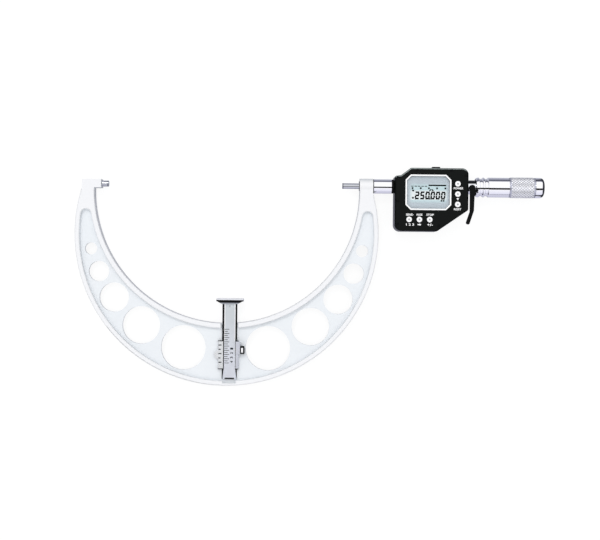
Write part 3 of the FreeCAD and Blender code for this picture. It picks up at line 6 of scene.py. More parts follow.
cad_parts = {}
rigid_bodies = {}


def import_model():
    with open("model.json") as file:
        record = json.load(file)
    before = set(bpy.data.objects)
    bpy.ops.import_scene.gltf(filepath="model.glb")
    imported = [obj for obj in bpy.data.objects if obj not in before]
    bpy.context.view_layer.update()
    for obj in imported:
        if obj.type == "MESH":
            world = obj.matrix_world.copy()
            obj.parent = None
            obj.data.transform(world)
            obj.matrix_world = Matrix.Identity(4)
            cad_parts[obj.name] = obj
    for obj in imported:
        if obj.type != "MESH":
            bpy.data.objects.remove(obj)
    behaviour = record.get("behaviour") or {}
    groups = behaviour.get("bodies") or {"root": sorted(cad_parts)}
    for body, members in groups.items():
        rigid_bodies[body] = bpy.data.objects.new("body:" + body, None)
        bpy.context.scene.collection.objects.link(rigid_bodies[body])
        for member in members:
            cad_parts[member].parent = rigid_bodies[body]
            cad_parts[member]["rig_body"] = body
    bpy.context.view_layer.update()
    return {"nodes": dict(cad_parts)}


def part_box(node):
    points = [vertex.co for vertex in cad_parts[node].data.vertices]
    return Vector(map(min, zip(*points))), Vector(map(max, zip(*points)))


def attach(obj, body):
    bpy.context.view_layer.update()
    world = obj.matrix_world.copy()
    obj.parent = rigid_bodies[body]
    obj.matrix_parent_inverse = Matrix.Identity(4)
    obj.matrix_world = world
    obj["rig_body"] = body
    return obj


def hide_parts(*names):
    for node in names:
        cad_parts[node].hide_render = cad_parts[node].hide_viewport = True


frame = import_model()
nodes = frame["nodes"]
scene = bpy.context.scene
MM = 0.001

# The frame is one iron casting, fettled, ground on its rims and sprayed with white enamel.
# The enamel pools a little, so it has a soft gloss and a fine orange peel. The sunk web is painted a shade
# greyer and bluer than the rims, as painted shade in the recess.

FRAME_WHITE = "F2F2F4"
FRAME_HOLLOW = "ECEFF2"
FRAME_WEB = "E6EAEE"
RIM_FADE_START = 3.5
RIM_FADE_END = 0.5
ENAMEL_POOL = 28.0
ORANGE_PEEL = 1.6
MOTTLE_DETAIL = 4.0
MOTTLE_SPREAD = (0.3, 0.7)


def linear(hex_code):
    """Turns an sRGB hex colour to the linear colour that a shader takes."""
    channels = [int(hex_code[i:i + 2], 16) / 255 for i in (0, 2, 4)]
    return tuple(c / 12.92 if c <= 0.04045 else ((c + 0.055) / 1.055) ** 2.4 for c in channels) + (1,)


def add(tree, kind, links=None, **settings):
    """Adds a node with its settings. Links and values of sockets come by name or number."""
    made = tree.nodes.new(kind)
    for key, value in settings.items():
        setattr(made, key, value)
    for key, value in (links or {}).items():
        if isinstance(value, bpy.types.NodeSocket):
            tree.links.new(value, made.inputs[key])
        else:
            made.inputs[key].default_value = value
    return made


def new_material(name, hex_code, metallic, roughness, specular=0.5):
    """Starts a material and gives it with its tree and its shader."""
    material = bpy.data.materials.new(name)
    material.use_nodes = True
    tree = material.node_tree
    shader = tree.nodes["Principled BSDF"]
    shader.inputs["Base Color"].default_value = linear(hex_code)
    shader.inputs["Metallic"].default_value = metallic
    shader.inputs["Roughness"].default_value = roughness
    shader.inputs["Specular IOR Level"].default_value = specular
    return material, tree, shader


def mottle(tree, shader, roughness, tones, grain_mm):
    """Varies roughness and colour with noise of a given grain, and gives the noise."""
    place = add(tree, "ShaderNodeTexCoord").outputs["Object"]
    noise = add(tree, "ShaderNodeTexNoise", {
        "Vector": place, "Scale": 1 / (grain_mm * MM), "Detail": MOTTLE_DETAIL})
    height = noise.outputs["Fac"]
    rough = add(tree, "ShaderNodeMapRange", {
        "Value": height, "From Min": MOTTLE_SPREAD[0], "From Max": MOTTLE_SPREAD[1],
        "To Min": roughness[0], "To Max": roughness[1]})
    tree.links.new(rough.outputs["Result"], shader.inputs["Roughness"])
    colour = add(tree, "ShaderNodeMix", {"Factor": height, "A": linear(tones[0]), "B": linear(tones[1])},
                 data_type="RGBA")
    tree.links.new(colour.outputs["Result"], shader.inputs["Base Color"])
    return height


def place_on_piece(tree):
    """Gives the sockets X, Y and Z of the point that is shaded, in the part's own frame."""
    place = add(tree, "ShaderNodeTexCoord").outputs["Object"]
    return add(tree, "ShaderNodeSeparateXYZ", {"Vector": place}).outputs


def overlay(tree, shader, where, hex_code):
    """Lays a colour over the base colour so far, as strongly as a socket says."""
    under = shader.inputs["Base Color"].links[0].from_socket
    mixed = add(tree, "ShaderNodeMix", {"Factor": where, "A": under, "B": linear(hex_code)},
                data_type="RGBA")
    tree.links.new(mixed.outputs["Result"], shader.inputs["Base Color"])


def relief(tree, shader, height, depth_mm, strength):
    """Gives a surface fine relief from a height socket, and gives the bump."""
    bump = add(tree, "ShaderNodeBump", {"Height": height, "Distance": depth_mm * MM, "Strength": strength})
    tree.links.new(bump.outputs["Normal"], shader.inputs["Normal"])
    return bump


def dress(material, *names):
    """Gives CAD nodes their finish."""
    for name in names:
        mesh = nodes[name].data
        mesh.materials.clear()
        mesh.materials.append(material)


frame_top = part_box("frame")[1][2]
enamel, tree, shader = new_material("white_enamel_on_cast_iron", FRAME_WHITE, metallic=0.0, roughness=0.42,
                                    specular=0.3)
shader.inputs["Coat Weight"].default_value = 0.1
shader.inputs["Coat Roughness"].default_value = 0.18
mottle(tree, shader, roughness=(0.36, 0.50), tones=(FRAME_WEB, FRAME_HOLLOW), grain_mm=ENAMEL_POOL)
# Painted shade: the sunk web keeps a greyer, bluer tone, and the rims are painted white.
spot = place_on_piece(tree)
rise = add(tree, "ShaderNodeMath", {0: spot["Z"]}, operation="ABSOLUTE")
rim = add(tree, "ShaderNodeMapRange", {
    "Value": rise.outputs[0], "From Min": frame_top - RIM_FADE_START * MM,
    "From Max": frame_top - RIM_FADE_END * MM})
overlay(tree, shader, rim.outputs["Result"], FRAME_WHITE)
place = add(tree, "ShaderNodeTexCoord").outputs["Object"]
peel = add(tree, "ShaderNodeTexNoise", {"Vector": place, "Scale": 1 / (ORANGE_PEEL * MM), "Detail": 2.0})
relief(tree, shader, peel.outputs["Fac"], depth_mm=0.05, strength=0.5)
dress(enamel, "frame")

# Anvil and spindle are hardened tool steel, ground and lapped on a cylindrical grinder.
# The wheel leaves very fine rings, drawn coarser here so that they show. The carbide discs
# brazed to their ends are darker, with a nearly polished face.

GRINDING_PITCH = 1.1
STEEL_TONES = ("BCBEC5", "C8CAD0")
CARBIDE_TONES = ("868990", "989BA1")


def cutter_rings(tree, shader, pitch_mm, wander, detail, depth_mm, strength):
    """Draws the hair lines that a wheel or a cutter leaves square to the measuring line."""
    place = add(tree, "ShaderNodeTexCoord").outputs["Object"]
    rings = add(tree, "ShaderNodeTexWave", {
        "Vector": place, "Scale": 1 / (pitch_mm * MM), "Distortion": wander, "Detail": detail},
        wave_type="BANDS", bands_direction="X")
    relief(tree, shader, rings.outputs["Fac"], depth_mm, strength)


ground_steel, tree, shader = new_material("ground_tool_steel", "C2C4CA", metallic=1.0, roughness=0.04)
mottle(tree, shader, roughness=(0.03, 0.05), tones=STEEL_TONES, grain_mm=9.0)
cutter_rings(tree, shader, GRINDING_PITCH, wander=0.6, detail=2.0, depth_mm=0.002, strength=0.3)
dress(ground_steel, "anvil", "spindle")

carbide, tree, shader = new_material("lapped_tungsten_carbide", "8E9197", metallic=1.0, roughness=0.16)
mottle(tree, shader, roughness=(0.12, 0.22), tones=CARBIDE_TONES, grain_mm=0.8)
dress(carbide, "anvil_carbide_tip", "spindle_carbide_tip")

# The thimble and its end cap are turned steel with a satin chrome plate. The plate mirrors
# the room softly, and the turning shows as hair lines round the part, drawn coarser here.

TURNING_PITCH = 0.8
PLATE_TONES = ("ECECF1", "F6F6F8")


def satin_plate(name):
    """Starts a satin chrome plate and gives it with its tree and its shader."""
    plate, tree, shader = new_material(name, "F1F1F4", metallic=1.0, roughness=0.07)
    mottle(tree, shader, roughness=(0.05, 0.10), tones=PLATE_TONES, grain_mm=14.0)
    return plate, tree, shader


satin_chrome, tree, shader = satin_plate("satin_chrome_plate")
cutter_rings(tree, shader, TURNING_PITCH, wander=0.3, detail=3.0, depth_mm=0.0015, strength=0.25)
dress(satin_chrome, "thimble", "end_cap")

# The barrel has the same plate. A thin dark ring on each side of the frame's boss is painted shade, where
# the barrel meets the boss. What makes them dark can't be seen, so they are painted on as dark steel.

NOSE_LENGTH = 1.2
BAND_PLACE = 15.2
BAND_HALF = 0.6
RING_SHADE = "1C1D20"


def distance_from(tree, coordinate, value):
    """Gives how far a coordinate lies from a value, on either side of it."""
    offset = add(tree, "ShaderNodeMath", {0: coordinate, 1: value}, operation="SUBTRACT")
    return add(tree, "ShaderNodeMath", {0: offset.outputs[0]}, operation="ABSOLUTE").outputs[0]


barrel_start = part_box("barrel")[0][0]
shade_ringed_chrome, tree, shader = satin_plate("satin_chrome_with_painted_shade_rings")
spot = place_on_piece(tree)
nose_end = barrel_start + NOSE_LENGTH * MM
# Painted shade: a dark ring at the barrel's nose and another beside the boss.
nose = add(tree, "ShaderNodeMath", {0: spot["X"], 1: nose_end}, operation="LESS_THAN")
near = distance_from(tree, spot["X"], barrel_start + BAND_PLACE * MM)
band = add(tree, "ShaderNodeMath", {0: near, 1: BAND_HALF * MM}, operation="LESS_THAN")
ring = add(tree, "ShaderNodeMath", {0: nose.outputs[0], 1: band.outputs[0]}, operation="MAXIMUM")
overlay(tree, shader, ring.outputs[0], RING_SHADE)
dress(shade_ringed_chrome, "barrel")

# The ring between barrel and housing, the seals and the cover of the data port are black
# nitrile rubber, moulded, matt and slightly greyed by handling.

nitrile, tree, shader = new_material("black_nitrile_rubber", "0C0D0E", metallic=0.0, roughness=0.62,
                                     specular=0.15)
grain = mottle(tree, shader, roughness=(0.52, 0.72), tones=("090A0B", "111214"), grain_mm=2.2)
relief(tree, shader, grain, depth_mm=0.03, strength=0.3)
dress(nitrile, "barrel_ring", "housing_seal", "battery_seal", "data_port_cover")

# The display housing is moulded ABS in near black. The mould was spark eroded, so the face
# has a fine even grain. The glint that the photograph shows along the front's upper corners
# is painted on as a thin grey line, by its place and by the way the surface faces.

SPARK_GRAIN = 0.45
EDGE_ROUND = 0.5
GLINT_ROUND = 0.9
GLINT_DEPTHS = (0.04, 0.75)
GLINT_SIDE = (-0.25, 0.97, 0.0)
OUT_OF_FACE = (0.0, 0.0, 1.0)
GLINT_GREY = "A8B2B0"


def where_all(tree, first, *others):
    """Multiplies sockets, so that a mark shows only where every one of them is on."""
    for other in others:
        first = add(tree, "ShaderNodeMath", {0: first, 1: other}, operation="MULTIPLY").outputs[0]
    return first


cover_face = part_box("housing_front")[1][2]
spark_grain, tree, shader = new_material("spark_grained_abs", "090C0B", metallic=0.0, roughness=0.34,
                                         specular=0.10)
mottle(tree, shader, roughness=(0.30, 0.40), tones=("070A09", "0B0F0E"), grain_mm=16.0)
place = add(tree, "ShaderNodeTexCoord").outputs["Object"]
grain = add(tree, "ShaderNodeTexNoise", {"Vector": place, "Scale": 1 / (SPARK_GRAIN * MM), "Detail": 3.0})
bump = relief(tree, shader, grain.outputs["Fac"], depth_mm=0.02, strength=0.4)
edge = add(tree, "ShaderNodeBevel", {"Radius": EDGE_ROUND * MM}, samples=6)
tree.links.new(edge.outputs["Normal"], bump.inputs["Normal"])
wide = add(tree, "ShaderNodeBevel", {"Radius": GLINT_ROUND * MM}, samples=6)
conditions = []
for direction, start, full in ((GLINT_SIDE, 0.2, 0.45), (OUT_OF_FACE, 0.2, 0.4)):
    facing = add(tree, "ShaderNodeVectorMath", {0: wide.outputs["Normal"], 1: direction},
                 operation="DOT_PRODUCT")
    conditions.append(add(tree, "ShaderNodeMapRange", {
        "Value": facing.outputs["Value"], "From Min": start, "From Max": full}))
spot = place_on_piece(tree)
for depth, side in zip(GLINT_DEPTHS, ("LESS_THAN", "GREATER_THAN")):
    height = cover_face - depth * MM
    conditions.append(add(tree, "ShaderNodeMath", {0: spot["Z"], 1: height}, operation=side))
glint = where_all(tree, *(condition.outputs[0] for condition in conditions))
overlay(tree, shader, glint, GLINT_GREY)
dress(spark_grain, "housing_rear", "housing_front", "battery_cap")

# The cover screws are small steel screws, blackened in a hot salt bath and oiled. The
# lock lever and its stud have the same finish.

OXIDE_TONES = ("050607", "0E0F11")
black_oxide, tree, shader = new_material("black_oxide_steel", "08090A", metallic=0.6, roughness=0.3,
                                         specular=0.2)
mottle(tree, shader, roughness=(0.24, 0.40), tones=OXIDE_TONES, grain_mm=3.0)
dress(black_oxide, "cover_screws", "lock_lever", "lock_stud")

# The bezel that holds the display window is moulded in glossy white ABS and pressed
# into the cover. The buttons are made of the same plastic.

white_abs, tree, shader = new_material("glossy_white_abs", "FDFDFE", metallic=0.0, roughness=0.22)
mottle(tree, shader, roughness=(0.16, 0.28), tones=("FBFBFC", "FFFFFF"), grain_mm=5.0)
dress(white_abs, "window_bezel")

# The display window is a cut sheet of clear acrylic. It shows only as a faint gloss over
# the liquid crystal panel, with faint smears.

SMEAR_SIZE = 9.0
acrylic, tree, shader = new_material("clear_acrylic_window", "2A3034", metallic=0.0, roughness=0.08)
shader.inputs["Alpha"].default_value = 0.05
place = add(tree, "ShaderNodeTexCoord").outputs["Object"]
smears = add(tree, "ShaderNodeTexNoise", {"Vector": place, "Scale": 1 / (SMEAR_SIZE * MM)})
haze = add(tree, "ShaderNodeMapRange", {"Value": smears.outputs["Fac"], "To Min": 0.05, "To Max": 0.14})
tree.links.new(haze.outputs["Result"], shader.inputs["Roughness"])
dress(acrylic, "display_window")

# The liquid crystal panel is a glass sandwich with a grey green polariser. Where the
# cell's active area lets through more light it looks lighter and bluer. The row behind the
# digits is painted lightest, as the photograph shows it.

ACTIVE_AREA = {"X": (322.3, 360.3), "Y": (-17.0, 1.7)}
ACTIVE_FADE = 1.6
BRIGHT_ROW_START = (-15.2, -14.0)
BRIGHT_ROW_END = (-5.4, -4.2)
CELL_BLUE = "D3EAEF"
CELL_BRIGHT = "F6FDFE"

panel_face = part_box("lcd_panel")[1][2]
polariser, tree, shader = new_material("grey_green_polariser", "C8D3DB", metallic=0.0, roughness=0.30,
                                       specular=0.2)
mottle(tree, shader, roughness=(0.24, 0.36), tones=("C6D1D9", "CBD6DE"), grain_mm=24.0)
spot = place_on_piece(tree)
sides = []
for axis, (low, high) in ACTIVE_AREA.items():
    half = (high - low) / 2
    distance = distance_from(tree, spot[axis], (low + high) / 2 * MM)
    inward = add(tree, "ShaderNodeMapRange", {
        "Value": distance, "From Min": (half - ACTIVE_FADE) * MM, "From Max": (half + ACTIVE_FADE) * MM,
        "To Min": 1.0, "To Max": 0.0})
    sides.append(inward.outputs["Result"])
inside = where_all(tree, *sides)
overlay(tree, shader, inside, CELL_BLUE)
above = add(tree, "ShaderNodeMapRange", {
    "Value": spot["Y"], "From Min": BRIGHT_ROW_START[0] * MM, "From Max": BRIGHT_ROW_START[1] * MM})
below = add(tree, "ShaderNodeMapRange", {
    "Value": spot["Y"], "From Min": BRIGHT_ROW_END[0] * MM, "From Max": BRIGHT_ROW_END[1] * MM,
    "To Min": 1.0, "To Max": 0.0})
bright_row = where_all(tree, below.outputs["Result"], above.outputs["Result"], inside)
overlay(tree, shader, bright_row, CELL_BRIGHT)
dress(polariser, "lcd_panel")

# The figures on the display are seven-segment digits that read 250.000 after a minus sign,
# with a bar scale over them and the unit marks below. They are dark liquid crystal, so
# they are flat, neutral and without gloss.

DIGIT_PITCH = 5.52
DIGIT_WIDTH = 4.84
DIGIT_HEIGHT = 8.4
DIGIT_SLANT = 0.08
STROKE = 1.72
CORNER = 0.45
WAIST_GAP = 0.2
FIRST_DIGIT = 326.43
DIGIT_BASE = -14.1
CRYSTAL_FILM = 0.03
READING = "250000"
SEGMENTS = {"0": "adFBEC", "2": "abged", "5": "afgcd"}
POINT_LEFT = FIRST_DIGIT + 3 * DIGIT_PITCH - 0.96
POINT_WIDTH = 1.3
POINT_LOW, POINT_HIGH = DIGIT_BASE - 0.1, DIGIT_BASE + 1.55
MINUS = (323.7, 325.7, -13.4, -11.6)
MEASURE_BAR = (341.2, 359.9, 0.1, 1.6)
SCALE_MARKS = 5
DASH_START, DASH_PITCH, DASH_LENGTH = 322.6, 3.6, 2.8
DASH_LOW, DASH_HIGH = -0.6, 0.2
TICK_START, TICK_PITCH, TICK_HALF = 324.2, 8.7, 0.9
TICK_LOW, TICK_HIGH = -3.2, -1.3
SCALE_MARK = (323.8, 325.9, -5.7, -3.9)
CARET_X, CARET_LOW, CARET_HIGH = 344.3, -5.1, -3.3
CARET_FOOT, CARET_TIP, CARET_STROKE, CARET_POINT = 2.1, 0.3, 1.3, 0.2
UNIT_LEFTS, UNIT_WIDTH = (354.2, 356.5), 1.7
UNIT_LOW, UNIT_HIGH = -16.3, -14.6


def upright_box(left, right, low, high):
    """Outline of an upright rectangle."""
    return [(left, low), (right, low), (right, high), (left, high)]


def leaning_bar(start, end, width, point):
    """Outline of a bar between two places. Its pointed ends are a share of the width long."""
    start, end = Vector(start), Vector(end)
    along = (end - start).normalized()
    side = Vector((-along.y, along.x)) * width / 2
    cut = along * width * point
    return [start, start + cut + side, end - cut + side, end, end - cut - side, start + cut - side]


def digit(figure, left, base):
    """Outlines of one digit's lit segments. Capitals are side bars that reach the middle."""
    width, height, stroke = DIGIT_WIDTH, DIGIT_HEIGHT, STROKE
    low, high, middle = (height - stroke) / 2, (height + stroke) / 2, height / 2
    bars = {
        "a": (CORNER, width - CORNER, height - stroke, height),
        "g": (CORNER, width - CORNER, low, high),
        "d": (CORNER, width - CORNER, 0, stroke),
        "f": (0, stroke, high, height - stroke), "b": (width - stroke, width, high, height - stroke),
        "e": (0, stroke, stroke, low), "c": (width - stroke, width, stroke, low),
        "F": (0, stroke, middle + WAIST_GAP, height - stroke),
        "B": (width - stroke, width, middle + WAIST_GAP, height - stroke),
        "E": (0, stroke, stroke, middle - WAIST_GAP),
        "C": (width - stroke, width, stroke, middle - WAIST_GAP),
    }
    return [[(left + x + y * DIGIT_SLANT, base + y) for x, y in upright_box(*bars[letter])]
            for letter in SEGMENTS[figure]]


def riding_piece(name, mesh, material, body):
    """Makes a piece of a mesh, in one material, and lets it ride on a body."""
    mesh.name = name
    mesh.materials.clear()
    mesh.materials.append(material)
    piece = bpy.data.objects.new(name, mesh)
    scene.collection.objects.link(piece)
    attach(piece, body)
    return piece


def flat_piece(name, shapes, face, thickness, material, body):
    """Makes thin printed or lit shapes that lie on a face, as one closed mesh."""
    mesh = bpy.data.meshes.new(name)
    points, faces = [], []
    for shape in shapes:
        if sum(a[0] * b[1] - b[0] * a[1] for a, b in zip(shape, shape[1:] + shape[:1])) < 0:
            shape = shape[::-1]
        first, count = len(points), len(shape)
        for lift in (0, thickness):
            points += [(x * MM, y * MM, face + lift * MM) for x, y in shape]
        faces.append([first + i for i in reversed(range(count))])
        faces.append([first + count + i for i in range(count)])
        for i in range(count):
            j = (i + 1) % count
            faces.append([first + i, first + j, first + count + j, first + count + i])
    mesh.from_pydata(points, [], faces)
    return riding_piece(name, mesh, material, body)


dark_crystal, tree, shader = new_material("dark_liquid_crystal", "010102", metallic=0.0, roughness=0.6,
                                          specular=0.0)
mottle(tree, shader, roughness=(0.55, 0.65), tones=("000001", "020303"), grain_mm=3.0)
figures = []
for index, figure in enumerate(READING):
    figures += digit(figure, FIRST_DIGIT + DIGIT_PITCH * index, DIGIT_BASE)
figures.append(upright_box(POINT_LEFT, POINT_LEFT + POINT_WIDTH, POINT_LOW, POINT_HIGH))
figures += [upright_box(*MINUS), upright_box(*MEASURE_BAR)]
for index in range(SCALE_MARKS):
    left = DASH_START + DASH_PITCH * index
    figures.append(upright_box(left, left + DASH_LENGTH, DASH_LOW, DASH_HIGH))
for index in range(SCALE_MARKS):
    middle = TICK_START + TICK_PITCH * index
    figures.append(upright_box(middle - TICK_HALF, middle + TICK_HALF, TICK_LOW, TICK_HIGH))
figures.append(upright_box(*SCALE_MARK))
for side in (-1, 1):
    foot = (CARET_X + CARET_FOOT * side, CARET_LOW)
    tip = (CARET_X + CARET_TIP * side, CARET_HIGH)
    figures.append(leaning_bar(foot, tip, CARET_STROKE, CARET_POINT))
for left in UNIT_LEFTS:
    figures.append(upright_box(left, left + UNIT_WIDTH, UNIT_LOW, UNIT_HIGH))
digits = flat_piece("display_figures", figures, panel_face, CRYSTAL_FILM, dark_crystal, "instrument")

# The legends beside the buttons are plain words, screen printed in white ink. The ink
# stands a few hundredths of a millimetre proud and has a matt face.

INK_FILM = 0.03
LETTER_WEIGHT = 0.03
LEGENDS = (
    ("legend_power", "POWER", (372.7, -2.2), 10.2, 2.3),
    ("legend_reset", "RESET", (371.9, -24.3), 7.8, 2.2),
    ("legend_send", "SEND", (321.2, -30.5), 7.8, 2.3),
    ("legend_mode", "MODE", (331.6, -30.5), 6.2, 2.3),
    ("legend_stop", "STOP", (342.9, -30.5), 8.0, 2.3),
    ("legend_numbers", "1 2 3", (321.7, -41.0), 8.4, 2.5),
    ("legend_sign", "+/-", (342.9, -41.0), 5.8, 2.8),
)
ARROW_RIGHT = [(329.7, -41.5), (331.9, -41.5), (331.9, -42.4), (333.6, -41.0), (331.9, -39.6),
               (331.9, -40.5), (329.7, -40.5)]
ARROW_DOWN = [(370.6, -12.6), (372.0, -14.9), (373.4, -12.6)]

white_ink, tree, shader = new_material("screen_printed_white_ink", "FBFBFB", metallic=0.0, roughness=0.55)
grain = mottle(tree, shader, roughness=(0.48, 0.62), tones=("F6F6F6", "FFFFFF"), grain_mm=1.2)
relief(tree, shader, grain, depth_mm=0.01, strength=0.3)


def printed(name, words, centre, width, height, material, body, face, turn=0.0):
    """Makes a printed word of a given width and height as a thin closed mesh."""
    curve = bpy.data.curves.new(name, "FONT")
    curve.body = words
    curve.resolution_u = 2
    curve.extrude = 0.5
    curve.offset = LETTER_WEIGHT
    source = bpy.data.objects.new(name + "_text", curve)
    scene.collection.objects.link(source)
    bpy.context.view_layer.update()
    mesh = bpy.data.meshes.new_from_object(source.evaluated_get(bpy.context.evaluated_depsgraph_get()))
    bpy.data.objects.remove(source)
    low = [min(v.co[i] for v in mesh.vertices) for i in range(3)]
    high = [max(v.co[i] for v in mesh.vertices) for i in range(3)]
    sizes = (width * MM / (high[0] - low[0]), height * MM / (high[1] - low[1]), INK_FILM * MM)
    middle = Vector(((low[0] + high[0]) / 2, (low[1] + high[1]) / 2, low[2]))
    place = Matrix.Translation((centre[0] * MM, centre[1] * MM, face))
    size = Matrix.Diagonal((*sizes, 1))
    mesh.transform(place @ Matrix.Rotation(turn, 4, "Z") @ size @ Matrix.Translation(-middle))
    return riding_piece(name, mesh, material, body)


for name, words, centre, width, height in LEGENDS:
    word = printed(name, words, centre, width, height, white_ink, "instrument", cover_face)
arrows = [ARROW_RIGHT, ARROW_DOWN]
marks = flat_piece("legend_arrows", arrows, cover_face, INK_FILM, white_ink, "instrument")

# Each button is a white cap with a grey dot on its crown, painted shade for the shallow dimple there. The
# cap rises through a round hole whose depth shows as a black ring.

DOT_RADIUS = 1.05
DOT_SIDES = 24
DOT_FILM = 0.02
dimple_shade_ink, tree, shader = new_material("grey_painted_dimple_shade", "A9ABAD", metallic=0.0, roughness=0.5)
mottle(tree, shader, roughness=(0.42, 0.58), tones=("9FA1A3", "B4B6B8"), grain_mm=0.8)
button_names = sorted(name for name in nodes if name.startswith("button_"))
dress(white_abs, *button_names)
for name in button_names:
    low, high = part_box(name)
    x, y = ((low[axis] + high[axis]) / 2 / MM for axis in (0, 1))
    angles = (math.tau * i / DOT_SIDES for i in range(DOT_SIDES))
    ring = [(x + DOT_RADIUS * math.cos(angle), y + DOT_RADIUS * math.sin(angle)) for angle in angles]
    # The grey dot is painted shade for the dimple in the crown.
    dot = flat_piece(name + "_dot", [ring], high[2], DOT_FILM, dimple_shade_ink, nodes[name]["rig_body"])

# The circuit board, the encoder's board and the parts on them sit inside the housing.
# The boards are green lacquered glass epoxy, and the contacts and the encoder's disc
# are brass.

TRACK_GRID = 3.0
TRACK_GAP = 0.03
solder_mask, tree, shader = new_material("green_solder_mask", "14502E", metallic=0.0, roughness=0.35)
mottle(tree, shader, roughness=(0.28, 0.42), tones=("0F4426", "1B5E38"), grain_mm=4.0)
place = add(tree, "ShaderNodeTexCoord").outputs["Object"]
tracks = add(tree, "ShaderNodeTexBrick", {
    "Vector": place, "Scale": 1 / (TRACK_GRID * MM), "Mortar Size": TRACK_GAP})
relief(tree, shader, tracks.outputs["Fac"], depth_mm=0.03, strength=0.6)
dress(solder_mask, "circuit_board", "encoder_stator")

turned_brass, tree, shader = new_material("turned_brass", "C9A35A", metallic=1.0, roughness=0.28)
mottle(tree, shader, roughness=(0.22, 0.36), tones=("BD964E", "D3AE66"), grain_mm=3.0)
dress(turned_brass, "encoder_rotor", "battery_contact", "lock_pad", "stop_clamp_shoe")

milled_alloy, tree, shader = new_material("milled_aluminium", "C4C6CA", metallic=1.0, roughness=0.34)
mottle(tree, shader, roughness=(0.28, 0.42), tones=("B9BBC0", "CED0D4"), grain_mm=5.0)
dress(milled_alloy, "encoder_chassis")

keypad, tree, shader = new_material("grey_silicone_keypad", "4C4E52", metallic=0.0, roughness=0.7)
mottle(tree, shader, roughness=(0.62, 0.78), tones=("46484C", "54565A"), grain_mm=2.0)
dress(keypad, "keypad_membrane")

socket_plastic, tree, shader = new_material("black_nylon_socket", "16171A", metallic=0.0, roughness=0.5)
mottle(tree, shader, roughness=(0.44, 0.58), tones=("131417", "1E2023"), grain_mm=2.0)
dress(socket_plastic, "data_connector")

# Screws, nut, cell case, head pin and the parts of the ratchet are bright machine steel.
# They are hidden or nearly so, and their finish is the usual one for such pieces.

bright_steel, tree, shader = new_material("bright_machine_steel", "BFC2C8", metallic=1.0, roughness=0.30)
mottle(tree, shader, roughness=(0.22, 0.38), tones=("B2B5BC", "CBCED3"), grain_mm=2.5)
dress(bright_steel, "board_screws", "chassis_screws", "battery", "adjusting_nut", "ratchet_hub",
      "ratchet_disc", "ratchet_spring", "ratchet_screw", "stop_guide_screws", "stop_head_pin")

# The thread sleeve is turned steel, and its neck is polished like the barrel. Along the upper side of the
# neck a dark band is painted on, as a painted reflection.

DARK_START = 2.9
DARK_FULL = 3.7
neck_steel, tree, shader = new_material("hardened_turned_steel", "E4E5E9", metallic=1.0, roughness=0.1)
mottle(tree, shader, roughness=(0.08, 0.14), tones=("DADBE0", "ECEDF1"), grain_mm=5.0)
# Painted reflection: the neck darkens towards its upper side.
neck_reflection_band = add(tree, "ShaderNodeMapRange", {
    "Value": place_on_piece(tree)["Y"], "From Min": DARK_START * MM, "From Max": DARK_FULL * MM})
overlay(tree, shader, neck_reflection_band.outputs["Result"], "3A3C3C")
dress(neck_steel, "thread_sleeve")

# The sleeve that the fingers turn has a rolled diamond knurl. The roll presses crossed grooves into the
# chrome plated drum and leaves a pyramid in each cell. The pyramids are drawn coarser than real ones so
# that they show, and the valleys are painted greyer as painted shade.

KNURL_RADIUS = 10.65
KNURL_TOP = 11.18
KNURL_AROUND = 24
KNURL_ROWS = 15
KNURL_START = 429.3
KNURL_END = 454.8
DRUM_SHOULDER = 10.6
DRUM_BORE = 9.5
DRUM_END_BORE = 8.5
DRUM_END_DEPTH = 12.0
DRUM_END_GAP = 0.05
VALLEY_SHADE_GREY = "BABCCB"
VALLEY_FLOOR = 0.02
VALLEY_DEPTH = 0.22


def set_input(modifier, name, value):
    """Sets a modifier's input by the identifier of its socket."""
    for item in modifier.node_group.interface.items_tree:
        if item.item_type == "SOCKET" and item.in_out == "INPUT" and item.name == name:
            modifier[item.identifier] = value


def group_with(name, **sizes):
    """Starts a geometry tree with named number inputs and gives it with its two ends."""
    group = bpy.data.node_groups.new(name, "GeometryNodeTree")
    group.interface.new_socket("Geometry", in_out="INPUT", socket_type="NodeSocketGeometry")
    for key, value in sizes.items():
        kind = "NodeSocketInt" if isinstance(value, int) else "NodeSocketFloat"
        group.interface.new_socket(key, in_out="INPUT", socket_type=kind).default_value = value
    group.interface.new_socket("Material", in_out="INPUT", socket_type="NodeSocketMaterial")
    group.interface.new_socket("Geometry", in_out="OUTPUT", socket_type="NodeSocketGeometry")
    return group, add(group, "NodeGroupInput"), add(group, "NodeGroupOutput")


def stamp_on_points(group, ends, count, spot, shape, size, **more):
    """Ends a tree: sets a shape on points, each at its own spot, and makes it plain mesh."""
    start, end = ends
    points = add(group, "GeometryNodePoints", {"Count": count})
    placed = add(group, "GeometryNodeSetPosition", {
        "Geometry": points.outputs[0], "Position": spot.outputs[0]})
    stamped = add(group, "GeometryNodeInstanceOnPoints", {
        "Points": placed.outputs[0], "Instance": shape.outputs[0], "Scale": size.outputs[0], **more})
    solid = add(group, "GeometryNodeRealizeInstances", {"Geometry": stamped.outputs[0]})
    finished = add(group, "GeometryNodeSetMaterial", {
        "Geometry": solid.outputs[0], "Material": start.outputs["Material"]})
    group.links.new(finished.outputs[0], end.inputs[0])


def realised(name, group, material, body, slot, **sizes):
    """Runs a geometry tree once, keeps the result as a plain mesh and lets it ride on a body."""
    holder = bpy.data.objects.new(name + "_holder", bpy.data.meshes.new(name + "_holder"))
    scene.collection.objects.link(holder)
    modifier = holder.modifiers.new(name, "NODES")
    modifier.node_group = group
    for key, value in sizes.items():
        set_input(modifier, key, value)
    set_input(modifier, "Material", material)
    bpy.context.view_layer.update()
    evaluated = holder.evaluated_get(bpy.context.evaluated_depsgraph_get())
    mesh = bpy.data.meshes.new_from_object(evaluated)
    holder.modifiers.remove(modifier)
    bpy.data.objects.remove(holder)
    piece = riding_piece(name, mesh, material, body)


